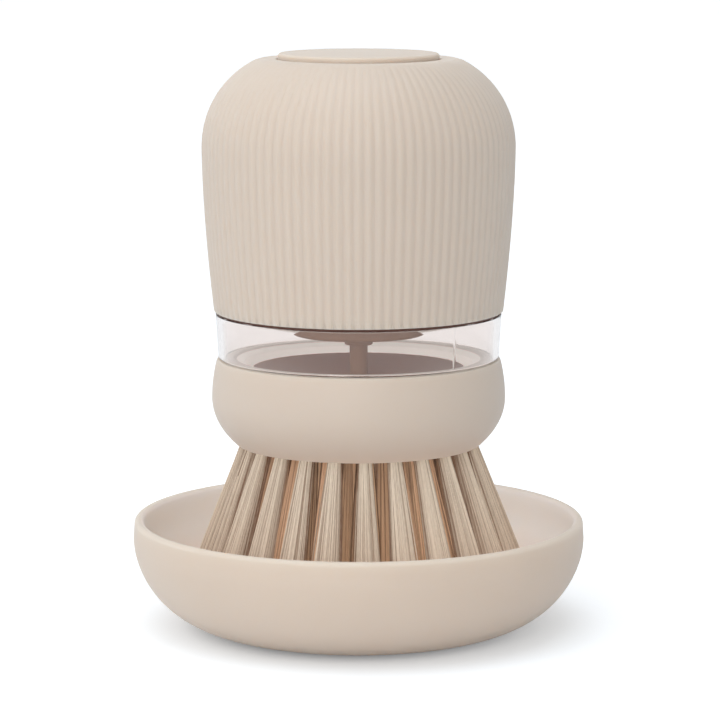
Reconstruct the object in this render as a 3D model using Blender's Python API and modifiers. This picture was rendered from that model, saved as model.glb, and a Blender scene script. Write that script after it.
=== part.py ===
"""Soap dispensing dish brush standing on its bristles in a drip tray.

A fluted dome handle holds washing-up liquid. Pressing the disc on top pushes a rod through the
clear band and down to a valve plug in the brush head, and a coil spring lifts it again. The
handle turns on three helical lugs and comes off the head for filling. Metres, +Z up, origin at
the centre of the tray's foot, every part round the Z axis.
"""

import math

import bmesh
import bpy
from mathutils import Matrix, Vector

# Fits
CLEARANCE = 0.0003
OVERRUN = 0.002

# Drip tray
TRAY_RADIUS = 0.0460
TRAY_HEIGHT = 0.0226
TRAY_FOOT_RADIUS = 0.02256
TRAY_WALL = 0.0022
TRAY_FLOOR = 0.0024
TRAY_RIM_TUCK = 0.0002
FOOT_RING_WIDTH = 0.0026
FOOT_RECESS = 0.0008
WIDEST_SHARE = 0.82
BOWL_SIDE_POWER = 2.434
BOWL_RISE_POWER = 1.798

# Bristles
BRISTLE_LENGTH = 0.0356
TUFT_ROOT_RADIUS = 0.0010
TUFT_TIP_RADIUS = 0.0037
STRAND_RADIUS = 0.00042
TIP_GAP = 0.0006
STRANDS_ROUND_TUFT = 6
OUTER_RING_INSET = 0.0016
MIDDLE_RING_SHARE = 0.5941
INNER_RING_SHARE = 0.2176
OUTER_TUFTS = 24
MIDDLE_TUFTS = 14
INNER_TUFTS = 8
OUTER_LEAN = math.radians(18.3)
MIDDLE_LEAN = math.radians(11.0)
INNER_LEAN = math.radians(4.0)
FIRST_TUFT_TURN = math.radians(3.1)

# Brush plate, whose lower face carries the three rings of tufts
PLATE_INSET = 0.0057
PLATE_THICKNESS = 0.0026
SLICE_THICKNESS = 0.0010
OUTLET_RADIUS = 0.0055
SNAP_HEIGHT = 0.0006
SNAP_LENGTH = 0.0018

# Bulged collar of the head
COLLAR_RADIUS = 0.0298
COLLAR_TOP_TUCK = 0.0011
COLLAR_WALL = 0.0020
COLLAR_HEIGHT = 0.01745
COLLAR_WIDEST_SHARE = 0.547
COLLAR_TUCK_POWER = 2.15
COLLAR_CROWN_POWER = 2.0
COLLAR_EDGE_ROUND = 0.0004
LIP_WIDTH = 0.0005
LIP_DROP = 0.00025

# Soap floor of the head, a plug that stands up inside the reservoir's neck
FLOOR_SINK = 0.0023
FLOOR_EDGE_WIDTH = 0.0031
FLOOR_WALL = 0.0022
FUNNEL_DEPTH = 0.0023
SEAT_SOCKET_WALL = 0.0017

# Valve seat and valve plug
SEAT_BORE_RADIUS = 0.0032
SEAT_WALL = 0.0020
SEAT_LENGTH = 0.0094
SEAT_FLANGE_WIDTH = 0.0014
SEAT_FLANGE_THICKNESS = 0.0010
PLUG_STEM_RADIUS = 0.0019
PLUG_SOCKET_DEPTH = 0.0060
PLUG_COLLAR_RADIUS = 0.00255
PLUG_COLLAR_LENGTH = 0.0014
PLUG_RISE = 0.0011
PLUG_LAND_LENGTH = 0.0040
PLUG_LAND_DROP = 0.0010
VALVE_RING_SECTION = 0.0006

# Neck of the reservoir, with three helical lugs under three ledges in the collar
NECK_WALL = 0.0018
NECK_LENGTH = 0.0096
NECK_END_GAP = 0.0007
LUG_COUNT = 3
LUG_HEIGHT = 0.0016
LUG_THICKNESS = 0.0015
LUG_LEAD = 0.0180
LUG_SPAN = math.radians(30)
LEDGE_SPAN = math.radians(60)
LEDGE_DROP = 0.0046
LUG_ROOT = 0.0006
GASKET_HEIGHT = 0.0013

# Clear band
BAND_TOP_STEP = 0.0003
BAND_BOTTOM_STEP = 0.0002
BAND_HEIGHT = 0.0089
BAND_WALL = 0.0022
BAND_EDGE_ROUND = 0.0004
SPIGOT_LENGTH = 0.0060
SPIGOT_WALL = 0.0017

# Fluted dome
DOME_RADIUS = 0.0316
DOME_BOTTOM_RADIUS = 0.0293
DOME_SKIRT_HEIGHT = 0.03327
DOME_SKIRT_POWER = 1.65
SHOULDER_RADIUS = 0.01928
DECK_RADIUS = 0.0203
DOME_WALL = 0.0026
DECK_WALL = 0.0022
SEAM = 0.00045
RIB_COUNT = 96
RIB_DEPTH = 0.00035
RIB_START = 0.0006
BAND_SEAL_WIDTH = 0.0008
BAND_SEAL_HEIGHT = 0.00105
BAND_SEAL_PROUD = 0.00015

# Button
BUTTON_RADIUS = 0.0162
BUTTON_PROUD = 0.0011
BUTTON_CROWN = 0.00035
BUTTON_EDGE_ROUND = 0.0008
BUTTON_TRAVEL = 0.0050
BUTTON_PLATE = 0.0021
BUTTON_WALL = 0.0016
BUTTON_SKIRT = 0.0110
BUTTON_STOP_WIDTH = 0.0011
BUTTON_STOP_THICKNESS = 0.0016
BOSS_RADIUS = 0.0040
BOSS_LENGTH = 0.0120

# Plunger well under the button
WELL_RADIUS = 0.0177
WELL_WALL = 0.0016
WELL_FOOT_RADIUS = 0.0140
WELL_DIP = 0.0041
WELL_FLOOR = 0.0018
WELL_HEAD_SPARE = 0.0009
WELL_HEAD_WALL = 0.0022
WELL_COLLAR_WALL = 0.0018
WELL_COLLAR_LENGTH = 0.0060
WELL_SEAL_SECTION = 0.0009
WELL_SEAL_DROP = 0.0030
GUIDE_RADIUS = 0.0049
GUIDE_LENGTH = 0.0130
GUIDE_WALL_ABOVE = 0.0040

# Push rod with its seal and retainer in the well's foot
ROD_RADIUS = 0.00183
ROD_TAIL_RADIUS = 0.0010
RETAINER_RADIUS = 0.00285
RETAINER_LENGTH = 0.0041
RETAINER_DIP = 0.0021
ROD_SEAL_LENGTH = 0.0014

# Return spring
SPRING_RADIUS = 0.0059
SPRING_WIRE_RADIUS = 0.0005
SPRING_TURNS = 8
SPRING_END_PITCH = 0.0016
POINTS_PER_TURN = 8

# Facets round each kind of piece
LARGE_STEPS = 36
DOME_STEPS = 32
MIDDLE_STEPS = 24
SMALL_STEPS = 16

# Levels, from the ground up
WIDEST_Z = TRAY_HEIGHT * WIDEST_SHARE
PLATE_FACE_Z = TRAY_FLOOR + CLEARANCE + BRISTLE_LENGTH
SLICE_TOP_Z = PLATE_FACE_Z + SLICE_THICKNESS
PLATE_Z = SLICE_TOP_Z + CLEARANCE
PLATE_TOP_Z = PLATE_Z + PLATE_THICKNESS
RECESS_TOP_Z = PLATE_TOP_Z + CLEARANCE
LIP_Z = PLATE_FACE_Z - LIP_DROP
COLLAR_TOP_Z = LIP_Z + COLLAR_HEIGHT
COLLAR_WIDEST_Z = LIP_Z + COLLAR_HEIGHT * COLLAR_WIDEST_SHARE
FLOOR_TOP_Z = COLLAR_TOP_Z - FLOOR_SINK
SEAT_TOP_Z = FLOOR_TOP_Z - FUNNEL_DEPTH
SEAT_BOTTOM_Z = SEAT_TOP_Z - SEAT_LENGTH
BAND_BOTTOM_Z = COLLAR_TOP_Z + CLEARANCE
BAND_TOP_Z = BAND_BOTTOM_Z + BAND_HEIGHT
NECK_END_Z = BAND_BOTTOM_Z - NECK_LENGTH
CHANNEL_FLOOR_Z = NECK_END_Z - NECK_END_GAP
LEDGE_Z = COLLAR_TOP_Z - LEDGE_DROP
DOME_BOTTOM_Z = BAND_TOP_Z + SEAM
DOME_WIDEST_Z = DOME_BOTTOM_Z + DOME_SKIRT_HEIGHT
SHOULDER_TURN = math.acos((DECK_RADIUS - DOME_RADIUS + SHOULDER_RADIUS) / SHOULDER_RADIUS)
DECK_Z = DOME_WIDEST_Z + SHOULDER_RADIUS * math.sin(SHOULDER_TURN)
DECK_UNDERSIDE_Z = DECK_Z - DECK_WALL
BUTTON_EDGE_Z = DECK_Z + BUTTON_PROUD
BUTTON_UNDERSIDE_Z = BUTTON_EDGE_Z - BUTTON_PLATE
WELL_TOP_Z = DECK_UNDERSIDE_Z - CLEARANCE
WELL_HEAD_END_Z = WELL_TOP_Z - BUTTON_STOP_THICKNESS - BUTTON_TRAVEL - WELL_HEAD_SPARE
WELL_BOTTOM_Z = BAND_TOP_Z - WELL_DIP
WELL_FLOOR_Z = WELL_BOTTOM_Z + WELL_FLOOR
GUIDE_TOP_Z = WELL_FLOOR_Z + GUIDE_LENGTH
RETAINER_Z = WELL_BOTTOM_Z - RETAINER_DIP
ROD_SEAL_Z = RETAINER_Z + RETAINER_LENGTH + CLEARANCE
SEAL_POCKET_TOP_Z = ROD_SEAL_Z + ROD_SEAL_LENGTH + CLEARANCE
PLUG_TOP_Z = SEAT_TOP_Z + PLUG_RISE
PLUG_BOTTOM_Z = SEAT_BOTTOM_Z - PLUG_LAND_DROP
PLUG_LAND_TOP_Z = PLUG_BOTTOM_Z + PLUG_LAND_LENGTH

# Radii that follow from the collar's, the dome's and the fits
PLATE_RADIUS = COLLAR_RADIUS - PLATE_INSET
OUTER_RING_RADIUS = PLATE_RADIUS - OUTER_RING_INSET
RING_ROOM = OUTER_RING_RADIUS - OUTLET_RADIUS
MIDDLE_RING_RADIUS = OUTLET_RADIUS + RING_ROOM * MIDDLE_RING_SHARE
INNER_RING_RADIUS = OUTLET_RADIUS + RING_ROOM * INNER_RING_SHARE
RECESS_RADIUS = PLATE_RADIUS + CLEARANCE
LIP_RADIUS = RECESS_RADIUS + LIP_WIDTH
COLLAR_TOP_RADIUS = COLLAR_RADIUS - COLLAR_TOP_TUCK
CHANNEL_RADIUS = COLLAR_TOP_RADIUS - COLLAR_WALL
LUG_RADIUS = CHANNEL_RADIUS - CLEARANCE
NECK_RADIUS = LUG_RADIUS - LUG_HEIGHT
NECK_BORE_RADIUS = NECK_RADIUS - NECK_WALL
FLOOR_PLUG_RADIUS = NECK_BORE_RADIUS - CLEARANCE
FLOOR_RADIUS = FLOOR_PLUG_RADIUS - FLOOR_EDGE_WIDTH
BAND_BOTTOM_RADIUS = COLLAR_TOP_RADIUS - BAND_BOTTOM_STEP
BAND_TOP_RADIUS = DOME_BOTTOM_RADIUS - BAND_TOP_STEP
SEAT_RADIUS = SEAT_BORE_RADIUS + SEAT_WALL
SEAT_HOLE_RADIUS = SEAT_RADIUS + CLEARANCE
SEAT_FLANGE_RADIUS = SEAT_RADIUS + SEAT_FLANGE_WIDTH
SPIGOT_RADIUS = DOME_BOTTOM_RADIUS - DOME_WALL - CLEARANCE
DECK_HOLE_RADIUS = BUTTON_RADIUS + CLEARANCE
WELL_HEAD_RADIUS = WELL_RADIUS + WELL_HEAD_WALL
WELL_COLLAR_RADIUS = WELL_HEAD_RADIUS + CLEARANCE
ROD_HOLE_RADIUS = ROD_RADIUS + CLEARANCE
RETAINER_HOLE_RADIUS = RETAINER_RADIUS + CLEARANCE
PLUG_LAND_RADIUS = SEAT_BORE_RADIUS - CLEARANCE

# Colours as seen, in display values
SHELL_COLOUR = (0.84, 0.78, 0.72)
BRISTLE_COLOUR = (0.80, 0.73, 0.66)
WELL_COLOUR = (0.66, 0.60, 0.56)
CLEAR_COLOUR = (0.93, 0.92, 0.91)
SEAL_COLOUR = (0.36, 0.27, 0.24)
STEEL_COLOUR = (0.62, 0.62, 0.63)


def clear_scene():
    """Remove every object of the open scene."""
    for thing in list(bpy.data.objects):
        bpy.data.objects.remove(thing, do_unlink=True)


def collection(name):
    """Make a collection under the scene's root."""
    group = bpy.data.collections.new(name)
    bpy.context.scene.collection.children.link(group)
    return group


clear_scene()
PARTS = collection("soap_dispensing_dish_brush")
CUTTERS = collection("cutters")


def linear(value):
    """Turn one display colour value into scene light."""
    if value <= 0.04045:
        return value / 12.92
    return ((value + 0.055) / 1.055) ** 2.4


def paint(thing, colour, roughness, metallic=0.0, transmission=0.0):
    """Give a part its own material."""
    material = bpy.data.materials.new(thing.name)
    material.use_nodes = True
    shader = material.node_tree.nodes["Principled BSDF"]
    shader.inputs["Base Color"].default_value = [linear(v) for v in colour] + [1.0]
    shader.inputs["Roughness"].default_value = roughness
    shader.inputs["Metallic"].default_value = metallic
    shader.inputs["Transmission Weight"].default_value = transmission
    thing.data.materials.clear()
    thing.data.materials.append(material)


def put(name, mesh, group):
    """Make an object of a mesh and link it to a collection."""
    thing = bpy.data.objects.new(name, mesh)
    group.objects.link(thing)
    if group is CUTTERS:
        thing.hide_render = True
        thing.display_type = "WIRE"
    return thing


def rounded(corners, steps=2):
    """Outline through corners (radius, height) or (radius, height, fillet), closed or open.

    A filleted corner becomes an arc, limited to half of each side that meets there.
    """
    points = []
    count = len(corners)
    for index, corner in enumerate(corners):
        here = Vector(corner[:2])
        fillet = corner[2] if len(corner) > 2 else 0
        if fillet == 0:
            points.append(tuple(here))
            continue
        back = Vector(corners[index - 1][:2]) - here
        ahead = Vector(corners[(index + 1) % count][:2]) - here
        half_turn = back.angle(ahead) / 2
        reach = min(fillet / math.tan(half_turn), back.length / 2, ahead.length / 2)
        start = here + back.normalized() * reach
        end = here + ahead.normalized() * reach
        for step in range(steps + 1):
            share = step / steps
            near = start.lerp(here, share)
            far = here.lerp(end, share)
            points.append(tuple(near.lerp(far, share)))
    return points


def turned(name, outline, steps, group=None, ring=False):
    """Turn an outline round Z. It runs down the outer side; a ring closes on itself."""
    mesh = bpy.data.meshes.new(name)
    count = len(outline)
    edges = [(i, i + 1) for i in range(count - 1)]
    if ring:
        edges.append((count - 1, 0))
    mesh.from_pydata([(radius, 0, height) for radius, height in outline], edges, [])
    thing = put(name, mesh, group or PARTS)
    screw = thing.modifiers.new("turn", "SCREW")
    screw.axis = "Z"
    screw.steps = steps
    screw.render_steps = steps
    screw.use_merge_vertices = True
    screw.merge_threshold = 0.00001
    screw.use_smooth_shade = True
    return thing


def joined(thing, other, operation):
    """Cut or join another solid with an exact Boolean."""
    modifier = thing.modifiers.new(other.name, "BOOLEAN")
    modifier.operation = operation
    modifier.solver = "EXACT"
    modifier.object = other
    return thing


def round_ring(name, inner_radius, outer_radius, middle_z, steps, sides=5):
    """Seal ring of round section between two radii."""
    centre = (inner_radius + outer_radius) / 2
    section = (outer_radius - inner_radius) / 2
    outline = []
    for side in range(sides):
        turn = -2 * math.pi * side / sides
        outline.append((centre + section * math.cos(turn), middle_z + section * math.sin(turn)))
    return turned(name, outline, steps, ring=True)


# Drip tray


def bowl_point(turn, base_radius, wide_radius, low_z):
    """Point of the bowl's wall: turn 0 on the floor, a quarter turn at its widest."""
    side = math.sin(turn) ** (2 / BOWL_SIDE_POWER)
    rise = 1 - max(math.cos(turn), 0) ** (2 / BOWL_RISE_POWER)
    return (
        base_radius + (wide_radius - base_radius) * side,
        low_z + (WIDEST_Z - low_z) * rise,
    )


BOWL_FLOOR_RADIUS = TRAY_FOOT_RADIUS - TRAY_WALL / 2
BOWL_WIDE_RADIUS = TRAY_RADIUS - TRAY_WALL


def bowl_height(radius):
    """Height of the bowl's inner face at a radius."""
    if radius <= BOWL_FLOOR_RADIUS:
        return TRAY_FLOOR
    share = min((radius - BOWL_FLOOR_RADIUS) / (BOWL_WIDE_RADIUS - BOWL_FLOOR_RADIUS), 1)
    turn = math.asin(share ** (BOWL_SIDE_POWER / 2))
    return bowl_point(turn, BOWL_FLOOR_RADIUS, BOWL_WIDE_RADIUS, TRAY_FLOOR)[1]


def drip_tray():
    """Bowl with a rounded rim, a flat floor and a foot ring."""
    turn_shares = (1.0, 0.8, 0.62, 0.46, 0.32, 0.2, 0.1)
    quarter = math.pi / 2
    rim_radius = TRAY_RADIUS - TRAY_RIM_TUCK
    rim_round = TRAY_WALL / 2
    corners = [(rim_radius, TRAY_HEIGHT, rim_round)]
    for share in turn_shares:
        corners.append(bowl_point(share * quarter, TRAY_FOOT_RADIUS, TRAY_RADIUS, 0))
    corners.append((TRAY_FOOT_RADIUS, 0))
    corners.append((TRAY_FOOT_RADIUS - FOOT_RING_WIDTH, 0))
    corners.append((TRAY_FOOT_RADIUS - FOOT_RING_WIDTH - FOOT_RECESS, FOOT_RECESS))
    corners.append((0, FOOT_RECESS))
    corners.append((0, TRAY_FLOOR))
    corners.append((BOWL_FLOOR_RADIUS, TRAY_FLOOR))
    for share in reversed(turn_shares):
        corners.append(bowl_point(share * quarter, BOWL_FLOOR_RADIUS, BOWL_WIDE_RADIUS, TRAY_FLOOR))
    corners.append((rim_radius - TRAY_WALL, TRAY_HEIGHT, rim_round))
    outline = rounded(corners)
    underside = [index for index, point in enumerate(outline) if point[0] == 0][0]
    opened = outline[underside + 1:] + outline[:underside + 1]
    return turned("drip_tray", opened, LARGE_STEPS)


# Brush head


def collar_radius(height):
    """Radius of the collar's bulged side at a height."""
    if height >= COLLAR_WIDEST_Z:
        share = (height - COLLAR_WIDEST_Z) / (COLLAR_TOP_Z - COLLAR_WIDEST_Z)
        return COLLAR_RADIUS - (COLLAR_RADIUS - COLLAR_TOP_RADIUS) * share ** COLLAR_CROWN_POWER
    share = (COLLAR_WIDEST_Z - height) / (COLLAR_WIDEST_Z - LIP_Z)
    return COLLAR_RADIUS - (COLLAR_RADIUS - LIP_RADIUS) * share ** COLLAR_TUCK_POWER


def helical_blocks(name, inner_radius, outer_radius, span, underside, thickness, steps):
    """Three blocks that climb with the lead, each a bar swept round part of the axis.

    The underside is the height at the middle of a block.
    """
    mesh = bpy.data.meshes.new(name)
    shape = bmesh.new()
    climb = LUG_LEAD / (2 * math.pi)
    for lug in range(LUG_COUNT):
        middle = 2 * math.pi * lug / LUG_COUNT
        rows = []
        for step in range(steps + 1):
            phase = span * (step / steps - 1 / 2)
            low = underside + climb * phase
            turn = middle + phase
            section = (
                (inner_radius, low),
                (outer_radius, low),
                (outer_radius, low + thickness),
                (inner_radius, low + thickness),
            )
            rows.append([
                shape.verts.new((radius * math.cos(turn), radius * math.sin(turn), height))
                for radius, height in section
            ])
        for first, second in zip(rows, rows[1:]):
            for side in range(4):
                ahead = (side + 1) % 4
                shape.faces.new((first[side], first[ahead], second[ahead], second[side]))
        shape.faces.new(rows[0][::-1])
        shape.faces.new(rows[-1])
    bmesh.ops.recalc_face_normals(shape, faces=shape.faces)
    shape.to_mesh(mesh)
    shape.free()
    return put(name, mesh, CUTTERS)


def head_shell():
    """Bulged collar with the neck's channel, the soap floor and the plate's recess."""
    side_shares = (0.8, 0.6, 0.4, 0.2)
    corners = [
        (CHANNEL_RADIUS, COLLAR_TOP_Z),
        (COLLAR_TOP_RADIUS, COLLAR_TOP_Z, COLLAR_EDGE_ROUND),
        (collar_radius(LIP_Z + COLLAR_HEIGHT * 0.85), LIP_Z + COLLAR_HEIGHT * 0.85),
        (collar_radius(LIP_Z + COLLAR_HEIGHT * 0.7), LIP_Z + COLLAR_HEIGHT * 0.7),
        (COLLAR_RADIUS, COLLAR_WIDEST_Z),
    ]
    for share in side_shares:
        height = LIP_Z + (COLLAR_WIDEST_Z - LIP_Z) * share
        corners.append((collar_radius(height), height))
    snap_z = (PLATE_Z + PLATE_TOP_Z) / 2
    snap_half = SNAP_LENGTH / 2 + CLEARANCE
    snap_radius = RECESS_RADIUS + SNAP_HEIGHT
    cavity_radius = FLOOR_PLUG_RADIUS - FLOOR_WALL
    socket_radius = SEAT_HOLE_RADIUS + SEAT_SOCKET_WALL
    flange_radius = SEAT_FLANGE_RADIUS + CLEARANCE
    flange_z = SEAT_TOP_Z - SEAT_FLANGE_THICKNESS - CLEARANCE
    corners += [
        (LIP_RADIUS, LIP_Z),
        (RECESS_RADIUS, LIP_Z),
        (RECESS_RADIUS, snap_z - snap_half),
        (snap_radius, snap_z),
        (RECESS_RADIUS, snap_z + snap_half),
        (RECESS_RADIUS, RECESS_TOP_Z),
        (cavity_radius, RECESS_TOP_Z),
        (cavity_radius, FLOOR_TOP_Z - FLOOR_WALL * 2),
        (FLOOR_RADIUS - FLOOR_WALL, FLOOR_TOP_Z - FLOOR_WALL),
        (socket_radius, SEAT_TOP_Z - FLOOR_WALL),
        (socket_radius, RECESS_TOP_Z),
        (SEAT_HOLE_RADIUS, RECESS_TOP_Z),
        (SEAT_HOLE_RADIUS, flange_z),
        (flange_radius, flange_z),
        (flange_radius, SEAT_TOP_Z),
        (FLOOR_RADIUS, FLOOR_TOP_Z),
        (FLOOR_PLUG_RADIUS, FLOOR_TOP_Z - FLOOR_WALL),
        (FLOOR_PLUG_RADIUS, CHANNEL_FLOOR_Z),
        (CHANNEL_RADIUS, CHANNEL_FLOOR_Z),
    ]
    head = turned("head_shell", rounded(corners), LARGE_STEPS, ring=True)
    ledges = helical_blocks(
        "ledges", NECK_RADIUS + CLEARANCE, CHANNEL_RADIUS + LUG_ROOT, LEDGE_SPAN,
        LEDGE_Z, LUG_THICKNESS, 6,
    )
    return joined(head, ledges, "UNION")


def brush_plate():
    """Disc that backs the three rings of tufts, held by a snap bead round its edge."""
    snap_z = (PLATE_Z + PLATE_TOP_Z) / 2
    snap_half = SNAP_LENGTH / 2
    outline = [
        (PLATE_RADIUS, PLATE_TOP_Z),
        (PLATE_RADIUS, snap_z + snap_half),
        (PLATE_RADIUS + SNAP_HEIGHT, snap_z),
        (PLATE_RADIUS, snap_z - snap_half),
        (PLATE_RADIUS, PLATE_Z),
        (OUTLET_RADIUS, PLATE_Z),
        (OUTLET_RADIUS, PLATE_TOP_Z),
    ]
    return turned("brush_plate", outline, LARGE_STEPS, ring=True)


def strand_sections(ring_radius, lean, turn, along, across):
    """Centre and section of one strand at its root and at its tip.

    The strand leans outward and spreads from the middle of its tuft. Its tip lies just above
    the bowl, at the height found by halving the range between plate and ground.
    """
    spread = TUFT_TIP_RADIUS / TUFT_ROOT_RADIUS - 1

    def place(height):
        fall = PLATE_FACE_Z - height
        growth = 1 + spread * max(fall, 0) / BRISTLE_LENGTH
        out = ring_radius + fall * math.tan(lean) + along * growth
        return out, across * growth

    low, high = 0.0, PLATE_FACE_Z
    for _ in range(40):
        middle = (low + high) / 2
        out, aside = place(middle)
        if middle - bowl_height(math.hypot(out, aside) + STRAND_RADIUS) > TIP_GAP:
            high = middle
        else:
            low = middle
    sections = []
    for height in (PLATE_FACE_Z + SLICE_THICKNESS / 2, high):
        out, aside = place(height)
        corners = []
        for corner in range(3):
            angle = 2 * math.pi * corner / 3
            x = out + STRAND_RADIUS * math.cos(angle)
            y = aside + STRAND_RADIUS * math.sin(angle)
            corners.append((
                x * math.cos(turn) - y * math.sin(turn),
                x * math.sin(turn) + y * math.cos(turn),
                height,
            ))
        sections.append(corners)
    return sections


def tuft_ring(name, ring_radius, tufts, lean, first_turn, inner_radius, outer_radius):
    """Ring of tufts whose strands grow out of one slice of the plate."""
    slice_outline = [
        (outer_radius, SLICE_TOP_Z),
        (outer_radius, PLATE_FACE_Z),
        (inner_radius, PLATE_FACE_Z),
        (inner_radius, SLICE_TOP_Z),
    ]
    backing = turned(name, slice_outline, LARGE_STEPS, ring=True)
    mesh = bpy.data.meshes.new(name + "_strands")
    shape = bmesh.new()
    for tuft in range(tufts):
        turn = first_turn - math.pi / 2 + 2 * math.pi * tuft / tufts
        offsets = [(0, 0)]
        for strand in range(STRANDS_ROUND_TUFT):
            angle = 2 * math.pi * strand / STRANDS_ROUND_TUFT
            offsets.append((TUFT_ROOT_RADIUS * math.cos(angle), TUFT_ROOT_RADIUS * math.sin(angle)))
        for along, across in offsets:
            root, tip = strand_sections(ring_radius, lean, turn, along, across)
            top = [shape.verts.new(point) for point in root]
            end = [shape.verts.new(point) for point in tip]
            for side in range(3):
                ahead = (side + 1) % 3
                shape.faces.new((top[side], end[side], end[ahead], top[ahead]))
            shape.faces.new(top)
            shape.faces.new(end[::-1])
    bmesh.ops.recalc_face_normals(shape, faces=shape.faces)
    shape.to_mesh(mesh)
    shape.free()
    strands = put(name + "_strands", mesh, CUTTERS)
    return joined(backing, strands, "UNION")


def valve_seat():
    """Flanged sleeve in the middle of the soap floor, in which the plug slides."""
    outline = [
        (SEAT_FLANGE_RADIUS, SEAT_TOP_Z),
        (SEAT_FLANGE_RADIUS, SEAT_TOP_Z - SEAT_FLANGE_THICKNESS),
        (SEAT_RADIUS, SEAT_TOP_Z - SEAT_FLANGE_THICKNESS),
        (SEAT_RADIUS, SEAT_BOTTOM_Z),
        (SEAT_BORE_RADIUS, SEAT_BOTTOM_Z),
        (SEAT_BORE_RADIUS, SEAT_TOP_Z),
    ]
    return turned("valve_seat", outline, SMALL_STEPS, ring=True)


# Reservoir and dome


def clear_reservoir():
    """Clear band with the spigot that enters the dome and the neck with its lugs."""
    band_bore = BAND_BOTTOM_RADIUS - BAND_WALL
    spigot_bore = SPIGOT_RADIUS - SPIGOT_WALL
    corners = [
        (SPIGOT_RADIUS, BAND_TOP_Z + SPIGOT_LENGTH),
        (SPIGOT_RADIUS, BAND_TOP_Z),
        (BAND_TOP_RADIUS, BAND_TOP_Z, BAND_EDGE_ROUND),
        (BAND_BOTTOM_RADIUS, BAND_BOTTOM_Z, BAND_EDGE_ROUND),
        (NECK_RADIUS, BAND_BOTTOM_Z),
        (NECK_RADIUS, NECK_END_Z),
        (NECK_BORE_RADIUS, NECK_END_Z),
        (NECK_BORE_RADIUS, BAND_BOTTOM_Z),
        (band_bore, BAND_BOTTOM_Z + BAND_WALL),
        (band_bore, BAND_TOP_Z - BAND_WALL / 2),
        (spigot_bore, BAND_TOP_Z + BAND_WALL / 2),
        (spigot_bore, BAND_TOP_Z + SPIGOT_LENGTH),
    ]
    reservoir = turned("clear_reservoir", rounded(corners), LARGE_STEPS, ring=True)
    lugs = helical_blocks(
        "lugs", NECK_RADIUS - LUG_ROOT, LUG_RADIUS, LUG_SPAN,
        LEDGE_Z - CLEARANCE - LUG_THICKNESS, LUG_THICKNESS, 3,
    )
    return joined(reservoir, lugs, "UNION")


def dome_outline():
    """Crest points of the dome from the deck's inner edge down to the seam, with rib depths."""
    points = [
        (DECK_HOLE_RADIUS + RIB_START, DECK_Z, 0),
        (DECK_RADIUS, DECK_Z, RIB_DEPTH),
    ]
    arc_shares = (0.75, 0.5, 0.25, 0)
    for share in arc_shares:
        turn = SHOULDER_TURN * share
        points.append((
            DOME_RADIUS - SHOULDER_RADIUS * (1 - math.cos(turn)),
            DOME_WIDEST_Z + SHOULDER_RADIUS * math.sin(turn),
            RIB_DEPTH,
        ))
    skirt_shares = (0.5, 1)
    for share in skirt_shares:
        points.append((
            DOME_RADIUS - (DOME_RADIUS - DOME_BOTTOM_RADIUS) * share ** DOME_SKIRT_POWER,
            DOME_WIDEST_Z - DOME_SKIRT_HEIGHT * share,
            RIB_DEPTH,
        ))
    return points


def groove_point(points, index):
    """Place of the groove beside a crest point, square to the outline, level at both ends."""
    radius, height, depth = points[index]
    if depth == 0:
        return radius, height
    if index == len(points) - 1:
        return radius - depth, height
    above = Vector(points[index - 1][:2])
    below = Vector(points[index + 1][:2])
    run = (below - above).normalized()
    return radius + run.y * depth, height - run.x * depth


def fluted_body():
    """Solid dome lofted between rib crests and the grooves that lie between them."""
    crests = dome_outline()
    grooves = [groove_point(crests, index) for index in range(len(crests))]
    columns = 2 * RIB_COUNT
    mesh = bpy.data.meshes.new("dome_shell")
    shape = bmesh.new()
    rows = []
    for crest, groove in zip(crests, grooves):
        row = []
        for column in range(columns):
            turn = 2 * math.pi * column / columns
            radius, height = groove if column % 2 else crest[:2]
            row.append(shape.verts.new((radius * math.cos(turn), radius * math.sin(turn), height)))
        rows.append(row)
    for upper, lower in zip(rows, rows[1:]):
        for column in range(columns):
            ahead = (column + 1) % columns
            shape.faces.new((upper[column], lower[column], lower[ahead], upper[ahead]))
    shape.faces.new(rows[0])
    shape.faces.new(rows[-1][::-1])
    bmesh.ops.recalc_face_normals(shape, faces=shape.faces)
    shape.to_mesh(mesh)
    shape.free()
    return put("dome_shell", mesh, PARTS)


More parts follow.
